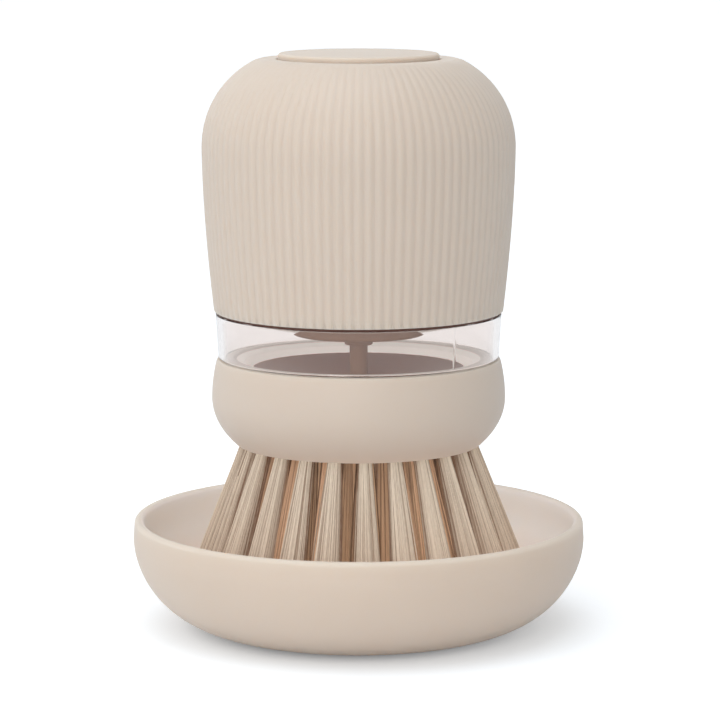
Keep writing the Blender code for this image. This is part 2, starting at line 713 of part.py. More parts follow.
def dome_shell():
    """Fluted dome with its hollow, the button's hole, the well's collar and the seal groove."""
    inner = []
    arc_shares = (0.85, 0.55, 0.28, 0)
    arc_radius = SHOULDER_RADIUS - DOME_WALL
    for share in arc_shares:
        turn = SHOULDER_TURN * share
        inner.append((
            DOME_RADIUS - DOME_WALL - arc_radius * (1 - math.cos(turn)),
            min(DOME_WIDEST_Z + arc_radius * math.sin(turn), DECK_UNDERSIDE_Z),
        ))
    skirt_shares = (0.5, 1)
    for share in skirt_shares:
        inner.append((
            DOME_RADIUS - DOME_WALL
            - (DOME_RADIUS - DOME_BOTTOM_RADIUS) * share ** DOME_SKIRT_POWER,
            DOME_WIDEST_Z - DOME_SKIRT_HEIGHT * share,
        ))
    collar_end = DECK_UNDERSIDE_Z - WELL_COLLAR_LENGTH
    collar_outside = WELL_COLLAR_RADIUS + WELL_COLLAR_WALL
    outline = [
        (0, DECK_Z + OVERRUN),
        (DECK_HOLE_RADIUS, DECK_Z + OVERRUN),
        (DECK_HOLE_RADIUS, DECK_UNDERSIDE_Z),
        (WELL_COLLAR_RADIUS, DECK_UNDERSIDE_Z),
        (WELL_COLLAR_RADIUS, collar_end),
        (collar_outside, collar_end),
        (collar_outside, inner[0][1]),
    ]
    outline += inner
    outline.append((inner[-1][0], DOME_BOTTOM_Z - OVERRUN))
    outline.append((0, DOME_BOTTOM_Z - OVERRUN))
    hollow = turned("dome_hollow", outline, DOME_STEPS, CUTTERS)
    groove_outer, groove_inner = seal_radii()
    seal_top = DOME_BOTTOM_Z + BAND_SEAL_HEIGHT - BAND_SEAL_PROUD + CLEARANCE
    groove = turned("seal_groove", [
        (groove_outer + CLEARANCE, seal_top),
        (groove_outer + CLEARANCE, DOME_BOTTOM_Z - OVERRUN),
        (groove_inner - CLEARANCE, DOME_BOTTOM_Z - OVERRUN),
        (groove_inner - CLEARANCE, seal_top),
    ], DOME_STEPS, CUTTERS, ring=True)
    dome = fluted_body()
    joined(dome, hollow, "DIFFERENCE")
    return joined(dome, groove, "DIFFERENCE")


def seal_radii():
    """Outer and inner radius of the seal in the middle of the dome's lower edge."""
    middle = DOME_BOTTOM_RADIUS - RIB_DEPTH / 2 - DOME_WALL / 2
    return middle + BAND_SEAL_WIDTH / 2, middle - BAND_SEAL_WIDTH / 2


def band_seal():
    """Dark sealing ring that closes the seam between dome and clear band."""
    outer, inner = seal_radii()
    low = DOME_BOTTOM_Z - BAND_SEAL_PROUD
    high = low + BAND_SEAL_HEIGHT
    return turned("band_seal", [(outer, high), (outer, low), (inner, low), (inner, high)],
                  DOME_STEPS, ring=True)


def neck_gasket():
    """Ring under the band's shoulder, round the neck, inside the collar's mouth."""
    inner = NECK_RADIUS + CLEARANCE
    outer = CHANNEL_RADIUS - CLEARANCE
    middle_z = BAND_BOTTOM_Z - CLEARANCE - GASKET_HEIGHT / 2
    return round_ring("neck_gasket", inner, outer, middle_z, DOME_STEPS)


# Pump


def button_cap():
    """Crowned disc with a guiding skirt, a stop rim under the deck and the rod's boss."""
    stop_top = DECK_UNDERSIDE_Z - CLEARANCE
    skirt_end = BUTTON_EDGE_Z - BUTTON_SKIRT
    skirt_bore = BUTTON_RADIUS - BUTTON_WALL
    boss_end = BUTTON_UNDERSIDE_Z - BOSS_LENGTH
    rod_top = BUTTON_UNDERSIDE_Z
    stop_radius = BUTTON_RADIUS + BUTTON_STOP_WIDTH
    corners = [
        (0, BUTTON_EDGE_Z + BUTTON_CROWN),
        (BUTTON_RADIUS * 0.6, BUTTON_EDGE_Z + BUTTON_CROWN * 0.7),
        (BUTTON_RADIUS, BUTTON_EDGE_Z, BUTTON_EDGE_ROUND),
        (BUTTON_RADIUS, stop_top),
        (stop_radius, stop_top),
        (stop_radius, stop_top - BUTTON_STOP_THICKNESS),
        (BUTTON_RADIUS, stop_top - BUTTON_STOP_THICKNESS),
        (BUTTON_RADIUS, skirt_end),
        (skirt_bore, skirt_end),
        (skirt_bore, BUTTON_UNDERSIDE_Z),
        (BOSS_RADIUS, BUTTON_UNDERSIDE_Z),
        (BOSS_RADIUS, boss_end),
        (ROD_HOLE_RADIUS, boss_end),
        (ROD_HOLE_RADIUS, rod_top),
        (0, rod_top),
    ]
    return turned("button_cap", rounded(corners), MIDDLE_STEPS)


def push_rod():
    """Rod from the button's boss to the valve plug, with a thin tail in the plug."""
    top = BUTTON_UNDERSIDE_Z - CLEARANCE
    shoulder = PLUG_TOP_Z + CLEARANCE
    tail_end = PLUG_TOP_Z - PLUG_SOCKET_DEPTH + CLEARANCE
    outline = [
        (0, top),
        (ROD_RADIUS, top),
        (ROD_RADIUS, shoulder),
        (ROD_TAIL_RADIUS, shoulder),
        (ROD_TAIL_RADIUS, tail_end),
        (0, tail_end),
    ]
    return turned("push_rod", outline, SMALL_STEPS)


def valve_plug():
    """Plug with a thin stem between its collar and the sealing land."""
    socket_radius = ROD_TAIL_RADIUS + CLEARANCE
    socket_end = PLUG_TOP_Z - PLUG_SOCKET_DEPTH
    groove_half = VALVE_RING_SECTION / 2 + CLEARANCE
    groove_z = (PLUG_LAND_TOP_Z + PLUG_BOTTOM_Z) / 2
    groove_radius = PLUG_LAND_RADIUS - VALVE_RING_SECTION - CLEARANCE
    outline = [
        (socket_radius, PLUG_TOP_Z),
        (PLUG_COLLAR_RADIUS, PLUG_TOP_Z),
        (PLUG_COLLAR_RADIUS, PLUG_TOP_Z - PLUG_COLLAR_LENGTH),
        (PLUG_STEM_RADIUS, PLUG_TOP_Z - PLUG_COLLAR_LENGTH),
        (PLUG_STEM_RADIUS, PLUG_LAND_TOP_Z),
        (PLUG_LAND_RADIUS, PLUG_LAND_TOP_Z),
        (PLUG_LAND_RADIUS, groove_z + groove_half),
        (groove_radius, groove_z + groove_half),
        (groove_radius, groove_z - groove_half),
        (PLUG_LAND_RADIUS, groove_z - groove_half),
        (PLUG_LAND_RADIUS, PLUG_BOTTOM_Z),
        (0, PLUG_BOTTOM_Z),
        (0, socket_end),
        (socket_radius, socket_end),
    ]
    opened = outline[12:] + outline[:12]
    return turned("valve_plug", opened, SMALL_STEPS)


def valve_ring():
    """Small seal ring in the groove of the plug's land."""
    middle_z = (PLUG_LAND_TOP_Z + PLUG_BOTTOM_Z) / 2
    return round_ring("valve_ring", PLUG_LAND_RADIUS - VALVE_RING_SECTION, PLUG_LAND_RADIUS,
                      middle_z, SMALL_STEPS)


def plunger_well():
    """Tapered cup under the button, with the rod's guide and the pocket of its seal."""
    foot_bore = WELL_FOOT_RADIUS - WELL_WALL
    seal_z = WELL_TOP_Z - WELL_SEAL_DROP
    groove_half = WELL_SEAL_SECTION / 2 + CLEARANCE
    groove_radius = WELL_HEAD_RADIUS - WELL_SEAL_SECTION - CLEARANCE
    corners = [
        (WELL_HEAD_RADIUS, WELL_TOP_Z),
        (WELL_HEAD_RADIUS, seal_z + groove_half),
        (groove_radius, seal_z + groove_half),
        (groove_radius, seal_z - groove_half),
        (WELL_HEAD_RADIUS, seal_z - groove_half),
        (WELL_HEAD_RADIUS, WELL_HEAD_END_Z),
        (WELL_RADIUS + WELL_WALL, WELL_HEAD_END_Z - WELL_HEAD_WALL),
        (WELL_FOOT_RADIUS, WELL_BOTTOM_Z, WELL_WALL),
        (RETAINER_HOLE_RADIUS, WELL_BOTTOM_Z),
        (RETAINER_HOLE_RADIUS, SEAL_POCKET_TOP_Z),
        (ROD_HOLE_RADIUS, SEAL_POCKET_TOP_Z),
        (ROD_HOLE_RADIUS, GUIDE_TOP_Z),
        (GUIDE_WALL_ABOVE, GUIDE_TOP_Z),
        (GUIDE_RADIUS, SEAL_POCKET_TOP_Z + WELL_WALL),
        (GUIDE_RADIUS, WELL_FLOOR_Z),
        (foot_bore, WELL_FLOOR_Z),
        (WELL_RADIUS, WELL_HEAD_END_Z - WELL_HEAD_WALL),
        (WELL_RADIUS, WELL_TOP_Z),
    ]
    return turned("plunger_well", rounded(corners), MIDDLE_STEPS, ring=True)


def well_seal():
    """Seal ring round the head of the well."""
    return round_ring("well_seal", WELL_HEAD_RADIUS - WELL_SEAL_SECTION, WELL_HEAD_RADIUS,
                      WELL_TOP_Z - WELL_SEAL_DROP, MIDDLE_STEPS)


def rod_seal():
    """Lip seal round the rod, in the pocket of the well's foot."""
    high = ROD_SEAL_Z + ROD_SEAL_LENGTH
    outline = [
        (RETAINER_RADIUS, high),
        (RETAINER_RADIUS, ROD_SEAL_Z),
        (ROD_HOLE_RADIUS, ROD_SEAL_Z),
        (ROD_HOLE_RADIUS, high),
    ]
    return turned("rod_seal", outline, SMALL_STEPS, ring=True)


def seal_retainer():
    """Bush that keeps the rod's seal in its pocket and shows under the well."""
    high = RETAINER_Z + RETAINER_LENGTH
    outline = [
        (RETAINER_RADIUS, high),
        (RETAINER_RADIUS, RETAINER_Z),
        (ROD_HOLE_RADIUS, RETAINER_Z),
        (ROD_HOLE_RADIUS, high),
    ]
    return turned("seal_retainer", outline, SMALL_STEPS, ring=True)


def spring_points():
    """Points of the coil: closely wound at both ends, evenly open between."""
    low = WELL_FLOOR_Z + CLEARANCE + SPRING_WIRE_RADIUS
    high = BUTTON_UNDERSIDE_Z - CLEARANCE - SPRING_WIRE_RADIUS
    end_rise = SPRING_END_PITCH
    count = SPRING_TURNS * POINTS_PER_TURN
    points = []
    for step in range(count + 1):
        turns = step / POINTS_PER_TURN
        if turns <= 1:
            height = low + end_rise * turns
        elif turns >= SPRING_TURNS - 1:
            height = high - end_rise * (SPRING_TURNS - turns)
        else:
            share = (turns - 1) / (SPRING_TURNS - 2)
            height = low + end_rise + (high - low - 2 * end_rise) * share
        angle = 2 * math.pi * turns
        points.append((SPRING_RADIUS * math.cos(angle), SPRING_RADIUS * math.sin(angle), height))
    return points


def least_gap(points):
    """Least distance between turns of the coil, less the wire."""
    least = None
    for first in range(len(points)):
        for second in range(first + POINTS_PER_TURN // 2, len(points)):
            gap = math.dist(points[first], points[second])
            least = gap if least is None else min(least, gap)
    return least - 2 * SPRING_WIRE_RADIUS


def return_spring():
    """Coil spring between the well's floor and the button."""
    points = spring_points()
    print("least gap between the spring's turns:", round(least_gap(points), 6))
    curve = bpy.data.curves.new("return_spring", "CURVE")
    curve.dimensions = "3D"
    curve.bevel_depth = SPRING_WIRE_RADIUS
    curve.bevel_resolution = 1
    curve.use_fill_caps = True
    spline = curve.splines.new("POLY")
    spline.points.add(len(points) - 1)
    for spot, point in zip(spline.points, points):
        spot.co = (*point, 1)
    wire = put("return_spring_path", curve, CUTTERS)
    bpy.context.view_layer.update()
    graph = bpy.context.evaluated_depsgraph_get()
    mesh = bpy.data.meshes.new_from_object(wire.evaluated_get(graph))
    mesh.name = "return_spring"
    shape = bmesh.new()
    shape.from_mesh(mesh)
    bmesh.ops.remove_doubles(shape, verts=shape.verts, dist=SPRING_WIRE_RADIUS / 100)
    bmesh.ops.recalc_face_normals(shape, faces=shape.faces)
    shape.to_mesh(mesh)
    shape.free()
    spring = put("return_spring", mesh, PARTS)
    spring.matrix_world = wire.matrix_world
    bpy.data.objects.remove(wire, do_unlink=True)
    return spring


def carrier(name, height, parent=None):
    """Empty on the axis that carries the pieces of one moving group."""
    empty = bpy.data.objects.new(name, None)
    empty.empty_display_size = PLATE_RADIUS
    PARTS.objects.link(empty)
    empty.location = (0, 0, height)
    if parent:
        hang(empty, parent)
    return empty


def hang(thing, parent):
    """Parent without moving: every carrier is upright, so only its height is taken out."""
    height = 0
    above = parent
    while above:
        height += above.location.z + above.matrix_parent_inverse.translation.z
        above = above.parent
    thing.parent = parent
    thing.matrix_parent_inverse = Matrix.Translation((0, 0, -height))


def build():
    """Make every part and hang it on the carrier of its group."""
    tray = drip_tray()
    paint(tray, SHELL_COLOUR, 0.5)

    lift = carrier("brush_lift", PLATE_FACE_Z)
    outer_inner_radius = (OUTER_RING_RADIUS + MIDDLE_RING_RADIUS) / 2
    middle_inner_radius = (MIDDLE_RING_RADIUS + INNER_RING_RADIUS) / 2
    half_gap = CLEARANCE / 2
    head = head_shell()
    plate = brush_plate()
    seat = valve_seat()
    outer = tuft_ring("bristles_outer", OUTER_RING_RADIUS, OUTER_TUFTS, OUTER_LEAN,
                      FIRST_TUFT_TURN, outer_inner_radius + half_gap, PLATE_RADIUS)
    middle = tuft_ring("bristles_middle", MIDDLE_RING_RADIUS, MIDDLE_TUFTS, MIDDLE_LEAN,
                       0, middle_inner_radius + half_gap, outer_inner_radius - half_gap)
    inner = tuft_ring("bristles_inner", INNER_RING_RADIUS, INNER_TUFTS, INNER_LEAN,
                      0, OUTLET_RADIUS, middle_inner_radius - half_gap)
    for piece in (head, plate, seat):
        paint(piece, SHELL_COLOUR, 0.5)
    for piece in (outer, middle, inner):
        paint(piece, BRISTLE_COLOUR, 0.6)
    for piece in (head, plate, seat, outer, middle, inner):
        hang(piece, lift)

    rise = carrier("handle_rise", BAND_BOTTOM_Z, lift)
    gasket = neck_gasket()
    paint(gasket, SEAL_COLOUR, 0.6)
    hang(gasket, rise)

    twist = carrier("handle_twist", BAND_BOTTOM_Z, rise)
    reservoir = clear_reservoir()
    paint(reservoir, CLEAR_COLOUR, 0.05, transmission=1.0)
    dome = dome_shell()
    paint(dome, SHELL_COLOUR, 0.45)
    well = plunger_well()
    paint(well, WELL_COLOUR, 0.5)
    bush = seal_retainer()
    paint(bush, WELL_COLOUR, 0.5)
    seals = (band_seal(), well_seal(), rod_seal())
    for piece in seals:
        paint(piece, SEAL_COLOUR, 0.6)
    spring = return_spring()
    paint(spring, STEEL_COLOUR, 0.3, metallic=1.0)
    for piece in (reservoir, dome, well, bush, spring) + seals:
        hang(piece, twist)

    press = carrier("button_press", DECK_Z, twist)
    button = button_cap()
    paint(button, SHELL_COLOUR, 0.45)
    rod = push_rod()
    paint(rod, WELL_COLOUR, 0.4)
    plug = valve_plug()
    paint(plug, WELL_COLOUR, 0.5)
    ring = valve_ring()
    paint(ring, SEAL_COLOUR, 0.6)
    for piece in (button, rod, plug, ring):
        hang(piece, press)


build()
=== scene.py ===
"""Looks of the soap dispensing dish brush: turned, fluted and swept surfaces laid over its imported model."""

import math

import bpy
import numpy as np
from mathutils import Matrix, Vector


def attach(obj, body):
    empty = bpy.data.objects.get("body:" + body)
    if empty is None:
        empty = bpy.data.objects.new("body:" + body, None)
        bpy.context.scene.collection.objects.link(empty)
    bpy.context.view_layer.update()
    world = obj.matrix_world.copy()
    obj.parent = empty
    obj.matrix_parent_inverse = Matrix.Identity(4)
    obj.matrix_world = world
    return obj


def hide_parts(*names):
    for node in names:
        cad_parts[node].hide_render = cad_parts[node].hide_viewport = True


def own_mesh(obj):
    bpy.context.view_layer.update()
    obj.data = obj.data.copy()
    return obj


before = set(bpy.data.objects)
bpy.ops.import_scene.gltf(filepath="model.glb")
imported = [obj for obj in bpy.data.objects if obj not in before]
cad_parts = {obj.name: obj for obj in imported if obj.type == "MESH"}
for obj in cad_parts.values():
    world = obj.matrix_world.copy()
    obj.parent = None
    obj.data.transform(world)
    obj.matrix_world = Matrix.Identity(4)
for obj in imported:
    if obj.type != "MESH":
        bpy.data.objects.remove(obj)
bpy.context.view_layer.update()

MM = 0.001
TURN = 2 * math.pi

# Drip tray, millimetres
TRAY_WIDE = 46.0
TRAY_TOP = 22.6
TRAY_WIDEST_Z = 18.532
TRAY_FOOT = 22.56
TRAY_WALL = 2.2
TRAY_FLOOR = 2.4
BOWL_SIDE_POWER = 2.434
BOWL_RISE_POWER = 1.798
TRAY_COLUMNS = 288

# Head and its plate. The slices that carry the outer and the middle tufts begin at the slice radii.
LIP_Z = 38.05
LIP_RADIUS = 24.9
RECESS_RADIUS = 24.4
COLLAR_WIDE = 29.8
COLLAR_WIDEST_Z = 47.595
COLLAR_TOP_Z = 55.5
COLLAR_TOP_RADIUS = 28.7
COLLAR_FALL_POWER = 2.15
CHANNEL_RADIUS = 26.7
CHANNEL_FLOOR_Z = 45.5
CHANNEL_WALL_RADIUS = 22.7
PLATE_FACE_Z = 38.3
PLATE_TOP_Z = 42.2
PLATE_UNDER_Z = 39.55
PLATE_RADIUS = 24.1
OUTER_SLICE = 19.05
MIDDLE_SLICE = 12.4
OUTLET_RADIUS = 5.5
FLOOR_TOP_Z = 53.9
FLOOR_LOW_Z = 48.9
SEAT_TOP_Z = 50.9

# Clear band and its neck. The socket radius is that of ledges and gasket, just clear of the neck, and
# the sleeve radius is that of lugs, gasket and spigot.
BAND_MIDDLE_RADIUS = 28.7
BAND_BOTTOM_Z = 55.8
BAND_TOP_Z = 64.7
NECK_RADIUS = 24.8
NECK_BORE = 23.0
NECK_END_Z = 46.2
SOCKET_RADIUS = 25.1
SLEEVE_RADIUS = 26.4
SPIGOT_TOP_Z = 70.7
SHOULDER_Z = BAND_BOTTOM_Z - 0.1
INSIDE_BAND_Z = 57.0
LUG_LEAD = 18.0
LUG_THICKNESS = 1.5
LEDGE_Z = 50.9

# Moulding line on the band
LINE_TURN = math.radians(-49)
LINE_WIDTH = 0.2
LINE_HEIGHT = 0.07

# Dome
DOME_BOTTOM_Z = 65.15
DOME_WIDE = 31.6
DOME_BOTTOM_RADIUS = 29.3
DOME_WIDEST_Z = 98.42
SHOULDER_RADIUS = 19.28
SHOULDER_TURN = math.radians(65.55)
DECK_RADIUS = 20.3
DECK_Z = 115.972
DECK_UNDERSIDE_Z = 113.772
DECK_HOLE = 16.5
DOME_WALL = 2.6
DOME_TAPER_POWER = 1.65
WELL_COLLAR_RADIUS = 20.2
WELL_COLLAR_END_Z = 107.77
RIBS = 96
RIB_DEPTH = 0.16
GROOVE_POWER = 1.3
COLUMNS_PER_RIB = 8

# Button, well and rod
BUTTON_RADIUS = 16.2
BUTTON_EDGE_Z = 117.072
BUTTON_CROWN = 0.35
BUTTON_UNDERSIDE_Z = 114.972
WELL_TOP_Z = 113.472
WELL_HEAD_END_Z = 105.972
WELL_BOTTOM_Z = 60.6
WELL_FLOOR_Z = 62.4
WELL_HEAD_RADIUS = 19.9
ROD_RADIUS = 1.83
ROD_TOP_Z = 114.672
ROD_HOLE = 2.13

# Return spring
SPRING_RADIUS = 5.9
SPRING_WIRE = 0.5
SPRING_TURNS = 8
SPRING_LOW_Z = 62.7
SPRING_HIGH_Z = 114.672
SPRING_END_RISE = 1.6

# Tufts: ring radius, how many, lean in degrees, first tuft's turn in degrees, painted shade, filaments in
# each.
# The painted shade is how much darker a tuft's back is painted and with what power, and the same for its
# sides: it stands for the shadow that the tufts would throw on each other.
OUTER_TUFTS = (22.5, 24, 18.3, 3.1, (1.3, 2.5, 0.55, 8), 110)
MIDDLE_TUFTS = (15.6, 14, 11.0, 4.0, (0.6, 2, 1.2, 5), 90)
INNER_TUFTS = (9.2, 8, 4.0, 9.0, (0.3, 2, 1.3, 6), 90)
TUFT_ROOT = 1.36
TUFT_TIP = 3.4
FILAMENT_RADIUS = 0.15
BRISTLE_FALL = 35.6
HEART_SHARE = 0.84
HEART_FAN = 0.94
SHADE_SPREAD = 0.28

# Finishes: scale of the clouds in a moulded colour, index of refraction of the clear plastic, colour of the
# bowl's inside as seen on a screen, paler than the plastic's as painted light where the bowl lies in shade,
# and the colour of the glow painted on the neck, which is no lamp
CLOUD_SCALE = 46.0
CLEAR_IOR = 1.49
BOWL_PAINTED_LIGHT = (254, 236, 229)
NECK_GLOW = (1.0, 0.96, 0.92, 1.0)

# Floor and its glow: half the floor's width and the glow's middle in metres, stops of the glow as distance
# in millimetres and strength, the distance that the stops go up to, and the glow's share for other rays
FLOOR_HALF = 6.0
GLOW_MIDDLE = (-0.0015, 0.0, 0.0)
FLOOR_GLOW = ((19.0, 0.0), (35.0, 0.34), (46.0, 0.36), (80.0, 0.45))
GLOW_REACH = 100.0
GLOW_COLOUR = (0.985, 1.0, 1.015, 1.0)
GLOW_FOR_OTHERS = 0.6

# Lamps: name, place and size in metres, power in watts, colour
LAMP_AIM = (0.0, 0.0, 0.06)
LAMPS = (
    ("front_window", (-0.286, -1.624, 0.471), 0.9, 6.6, (1.0, 1.0, 1.0)),
    ("high_window", (-0.150, -0.413, 1.702), 1.2, 7.6, (0.9, 1.0, 1.09)),
)

# Camera: place in metres, dip below level in radians, lens and sensor in millimetres
CAMERA_PLACE = (0.00028, -0.660, 0.15577)
CAMERA_DIP = 0.15175
CAMERA_LENS = 164.3
CAMERA_SENSOR = 36.0


# Shapes


def rounded(corners, steps=6):
    """Outline through corners (radius, height, fillet), fillets left out where a corner is sharp.

    A filleted corner is a circular arc, written as the curve of degree two between the two points where
    it touches its sides, with the sine of half the corner's angle as the weight of the corner itself.
    """
    corners = np.array([(*corner, 0)[:3] for corner in corners], float)
    here, fillet = corners[:, :2], corners[:, 2]
    back, ahead = np.roll(here, 1, 0) - here, np.roll(here, -1, 0) - here
    back_length, ahead_length = np.linalg.norm(back, axis=1), np.linalg.norm(ahead, axis=1)
    back /= back_length[:, None]
    ahead /= ahead_length[:, None]
    half = np.arccos(np.clip((back * ahead).sum(1), -1, 1)) / 2
    reach = np.minimum(fillet / np.tan(np.maximum(half, 1e-6)), np.minimum(back_length, ahead_length) / 2)
    start, end = here + back * reach[:, None], here + ahead * reach[:, None]
    share = np.linspace(0, 1, steps + 1)[None, :, None]
    first, last = (1 - share) ** 2, share ** 2
    middle = 2 * share * (1 - share) * np.sin(half)[:, None, None]
    arcs = (first * start[:, None] + middle * here[:, None] + last * end[:, None]) / (first + middle + last)
    kept = (fillet > 0)[:, None] | (np.arange(steps + 1) == 0)
    return arcs[kept]


def refined(outline, step, ring=False):
    """The same outline with points added so that no stretch is longer than step: places along its run
    are its own corners and every multiple of step that isn't close to one."""
    if ring:
        outline = np.vstack([outline, outline[:1]])
    run = np.concatenate([[0], np.cumsum(np.linalg.norm(np.diff(outline, axis=0), axis=1))])
    extra = np.arange(step, run[-1], step)
    extra = extra[np.abs(extra[:, None] - run).min(1) > step / 3]
    stops = np.sort(np.concatenate([run, extra]))
    finer = np.stack([np.interp(stops, run, outline[:, 0]), np.interp(stops, run, outline[:, 1])], -1)
    return finer[:-1] if ring else finer


def turned(outline, turn):
    """Outline turned round the axis: at turn a, a point (r, h) stands at (r cos a, r sin a, h). A whole
    number stands for that many even turns."""
    turn = np.arange(turn) * TURN / turn if isinstance(turn, int) else turn
    radius, height = outline[:, :1], outline[:, 1:2]
    return np.stack([radius * np.cos(turn), radius * np.sin(turn), height + 0 * turn], -1)


def enclosed(points, quads):
    """Six times the volume inside quads, each cut in two triangles: the sum of the triple products of
    their corners. It is below zero where they face inward."""
    a, b, c, d = (points[quads[:, corner]] for corner in range(4))
    return (np.cross(a, b) * c).sum() + (np.cross(a, c) * d).sum()


def grid_faces(points, ring, first):
    """Faces between neighbouring rows of a grid whose columns meet again. A row of equal points is one
    pole, whose faces are triangles. With ring, the last row meets the first."""
    rows, columns = points.shape[:2]
    order = np.arange(rows * columns).reshape(rows, columns) + first
    pole = np.abs(points - points[:, :1]).max((1, 2)) < 1e-7
    order[pole] = order[pole][:, :1]
    if ring:
        order = np.vstack([order, order[:1]])
    upper, lower = order[:-1], order[1:]
    quads = np.stack([upper, lower, np.roll(lower, -1, 1), np.roll(upper, -1, 1)], -1).reshape(-1, 4)
    top, bottom = quads[:, 0] == quads[:, 3], quads[:, 1] == quads[:, 2]
    parts = [quads[~top & ~bottom], quads[top][:, :3], quads[bottom][:, [0, 1, 3]]]
    if enclosed(points.reshape(-1, 3), quads - first) < 0:
        parts = [part[:, ::-1] for part in parts]
    return [face for part in parts for face in part.tolist()]


def add_grid(points, faces, grid, ring):
    """Put a grid's points and faces behind those of the grids before it."""
    faces += grid_faces(grid, ring, sum(len(part) for part in points))
    points.append(grid.reshape(-1, 3))


def new_object(name, data):
    """Object of the scene, at the origin and unturned."""
    thing = bpy.data.objects.new(name, data)
    bpy.context.scene.collection.objects.link(thing)
    return thing


def new_piece(name, points, faces, materials, body, node, crease):
    """Object of points in millimetres and their faces that rides on a body and stands for a CAD node.
    Edges sharper than crease degrees stay crisp."""
    mesh = bpy.data.meshes.new(name)
    mesh.from_pydata((np.vstack(points) * MM).tolist(), [], faces)
    mesh.polygons.foreach_set("use_smooth", [True] * len(faces))
    mesh.set_sharp_from_angle(angle=math.radians(crease))
    for material in materials:
        mesh.materials.append(material)
    thing = new_object(name, mesh)
    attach(thing, body)
    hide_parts(node)
    return thing


def piece(name, grids, material, body, node, crease=32):
    """Piece of one or more grids, each given with whether it is a ring."""
    points, faces = [], []
    for grid, ring in grids:
        add_grid(points, faces, grid, ring)
    return new_piece(name, points, faces, [material], body, node, crease)


def turned_piece(name, corners, material, body, node, columns, step=1.5):
    """Piece turned from one outline of corners, which is closed on itself unless it starts on the axis."""
    ring = corners[0][0] > 0
    outline = refined(rounded(corners), step, ring)
    return piece(name, [(turned(outline, columns), ring)], material, body, node)


def point_values(thing, label, values):
    """A value at each point of a piece, which its material reads by the label."""
    thing.data.attributes.new(label, "FLOAT", "POINT").data.foreach_set("value", values.astype(np.float32))


def let_light_through(*things):
    """Pieces that the eye sees but that keep no light from what lies behind or inside them."""
    for thing in things:
        thing.visible_diffuse = thing.visible_shadow = False


def second_finish(thing, material, chosen):
    """Another finish for the faces whose middle the function chosen picks by radius and height."""
    mesh = thing.data
    middle = np.zeros(3 * len(mesh.polygons), np.float32)
    mesh.polygons.foreach_get("center", middle)
    x, y, height = middle.reshape(-1, 3).T / MM
    finish = np.zeros(len(mesh.polygons), np.int32)
    mesh.polygons.foreach_get("material_index", finish)
    finish[chosen(np.hypot(x, y), height)] = len(mesh.materials)
    mesh.materials.append(material)
    mesh.polygons.foreach_set("material_index", finish)


def bowl_curve(turn, base_radius, wide_radius, low_z):
    """Bowl's wall from turn 0 on the floor to a quarter turn at its widest: the radius goes with the
    sine and the height with one less the cosine, each to its own power."""
    side = np.sin(turn) ** (2 / BOWL_SIDE_POWER)
    rise = 1 - np.maximum(np.cos(turn), 0) ** (2 / BOWL_RISE_POWER)
    radius = base_radius + (wide_radius - base_radius) * side
    return np.stack([radius, low_z + (TRAY_WIDEST_Z - low_z) * rise], -1)


def bowl_height(radius):
    """Height of the bowl's inner face at a radius, from the same curve turned round."""
    base, wide = TRAY_FOOT - TRAY_WALL / 2, TRAY_WIDE - TRAY_WALL
    share = np.clip((radius - base) / (wide - base), 0, 1)
    turn = np.arcsin(share ** (BOWL_SIDE_POWER / 2))
    rise = 1 - np.maximum(np.cos(turn), 0) ** (2 / BOWL_RISE_POWER)
    return TRAY_FLOOR + (TRAY_WIDEST_Z - TRAY_FLOOR) * rise


def tray_outline():
    """From the middle of the bowl's floor out and up the inside, over the rim, down the outside, over
    the foot ring to the middle of the underside."""
    rise = np.linspace(0.02, 1, 40) ** 0.9 * math.pi / 2
    inside = bowl_curve(rise, TRAY_FOOT - TRAY_WALL / 2, TRAY_WIDE - TRAY_WALL, TRAY_FLOOR)
    outside = bowl_curve(rise[::-1], TRAY_FOOT, TRAY_WIDE, 0)
    rim_outer = TRAY_WIDE - 0.2
    rim_inner = rim_outer - TRAY_WALL + 0.2
    rim = rounded([
        (rim_inner, TRAY_WIDEST_Z), (rim_inner, TRAY_TOP, 0.95),
        (rim_outer, TRAY_TOP, 0.95), (rim_outer, TRAY_WIDEST_Z),
    ], 8)[1:-1]
    foot = rounded([
        (TRAY_FOOT, 0), (TRAY_FOOT - 2.6, 0, 0.4), (TRAY_FOOT - 3.4, 0.8, 0.5),
        (1.6, 0.8), (1.6, 0.65), (0, 0.65),
    ], 5)
    return refined(np.vstack([[(0, TRAY_FLOOR)], inside, rim, outside, foot]), 1.2)


def collar_side(count):
    """Bulged side of the collar from its top edge down to the lip: above the widest ring the radius falls
    with the square of the height, below it with a power a little over two."""
    height = np.linspace(COLLAR_TOP_Z - 0.6, LIP_Z + 0.35, count)
    up = np.clip((height - COLLAR_WIDEST_Z) / (COLLAR_TOP_Z - COLLAR_WIDEST_Z), 0, 1)
    down = np.clip((COLLAR_WIDEST_Z - height) / (COLLAR_WIDEST_Z - LIP_Z), 0, 1)
    drawn_in_above = (COLLAR_WIDE - COLLAR_TOP_RADIUS) * up ** 2
    drawn_in_below = (COLLAR_WIDE - LIP_RADIUS) * down ** COLLAR_FALL_POWER
    return np.stack([COLLAR_WIDE - drawn_in_above - drawn_in_below, height], -1)


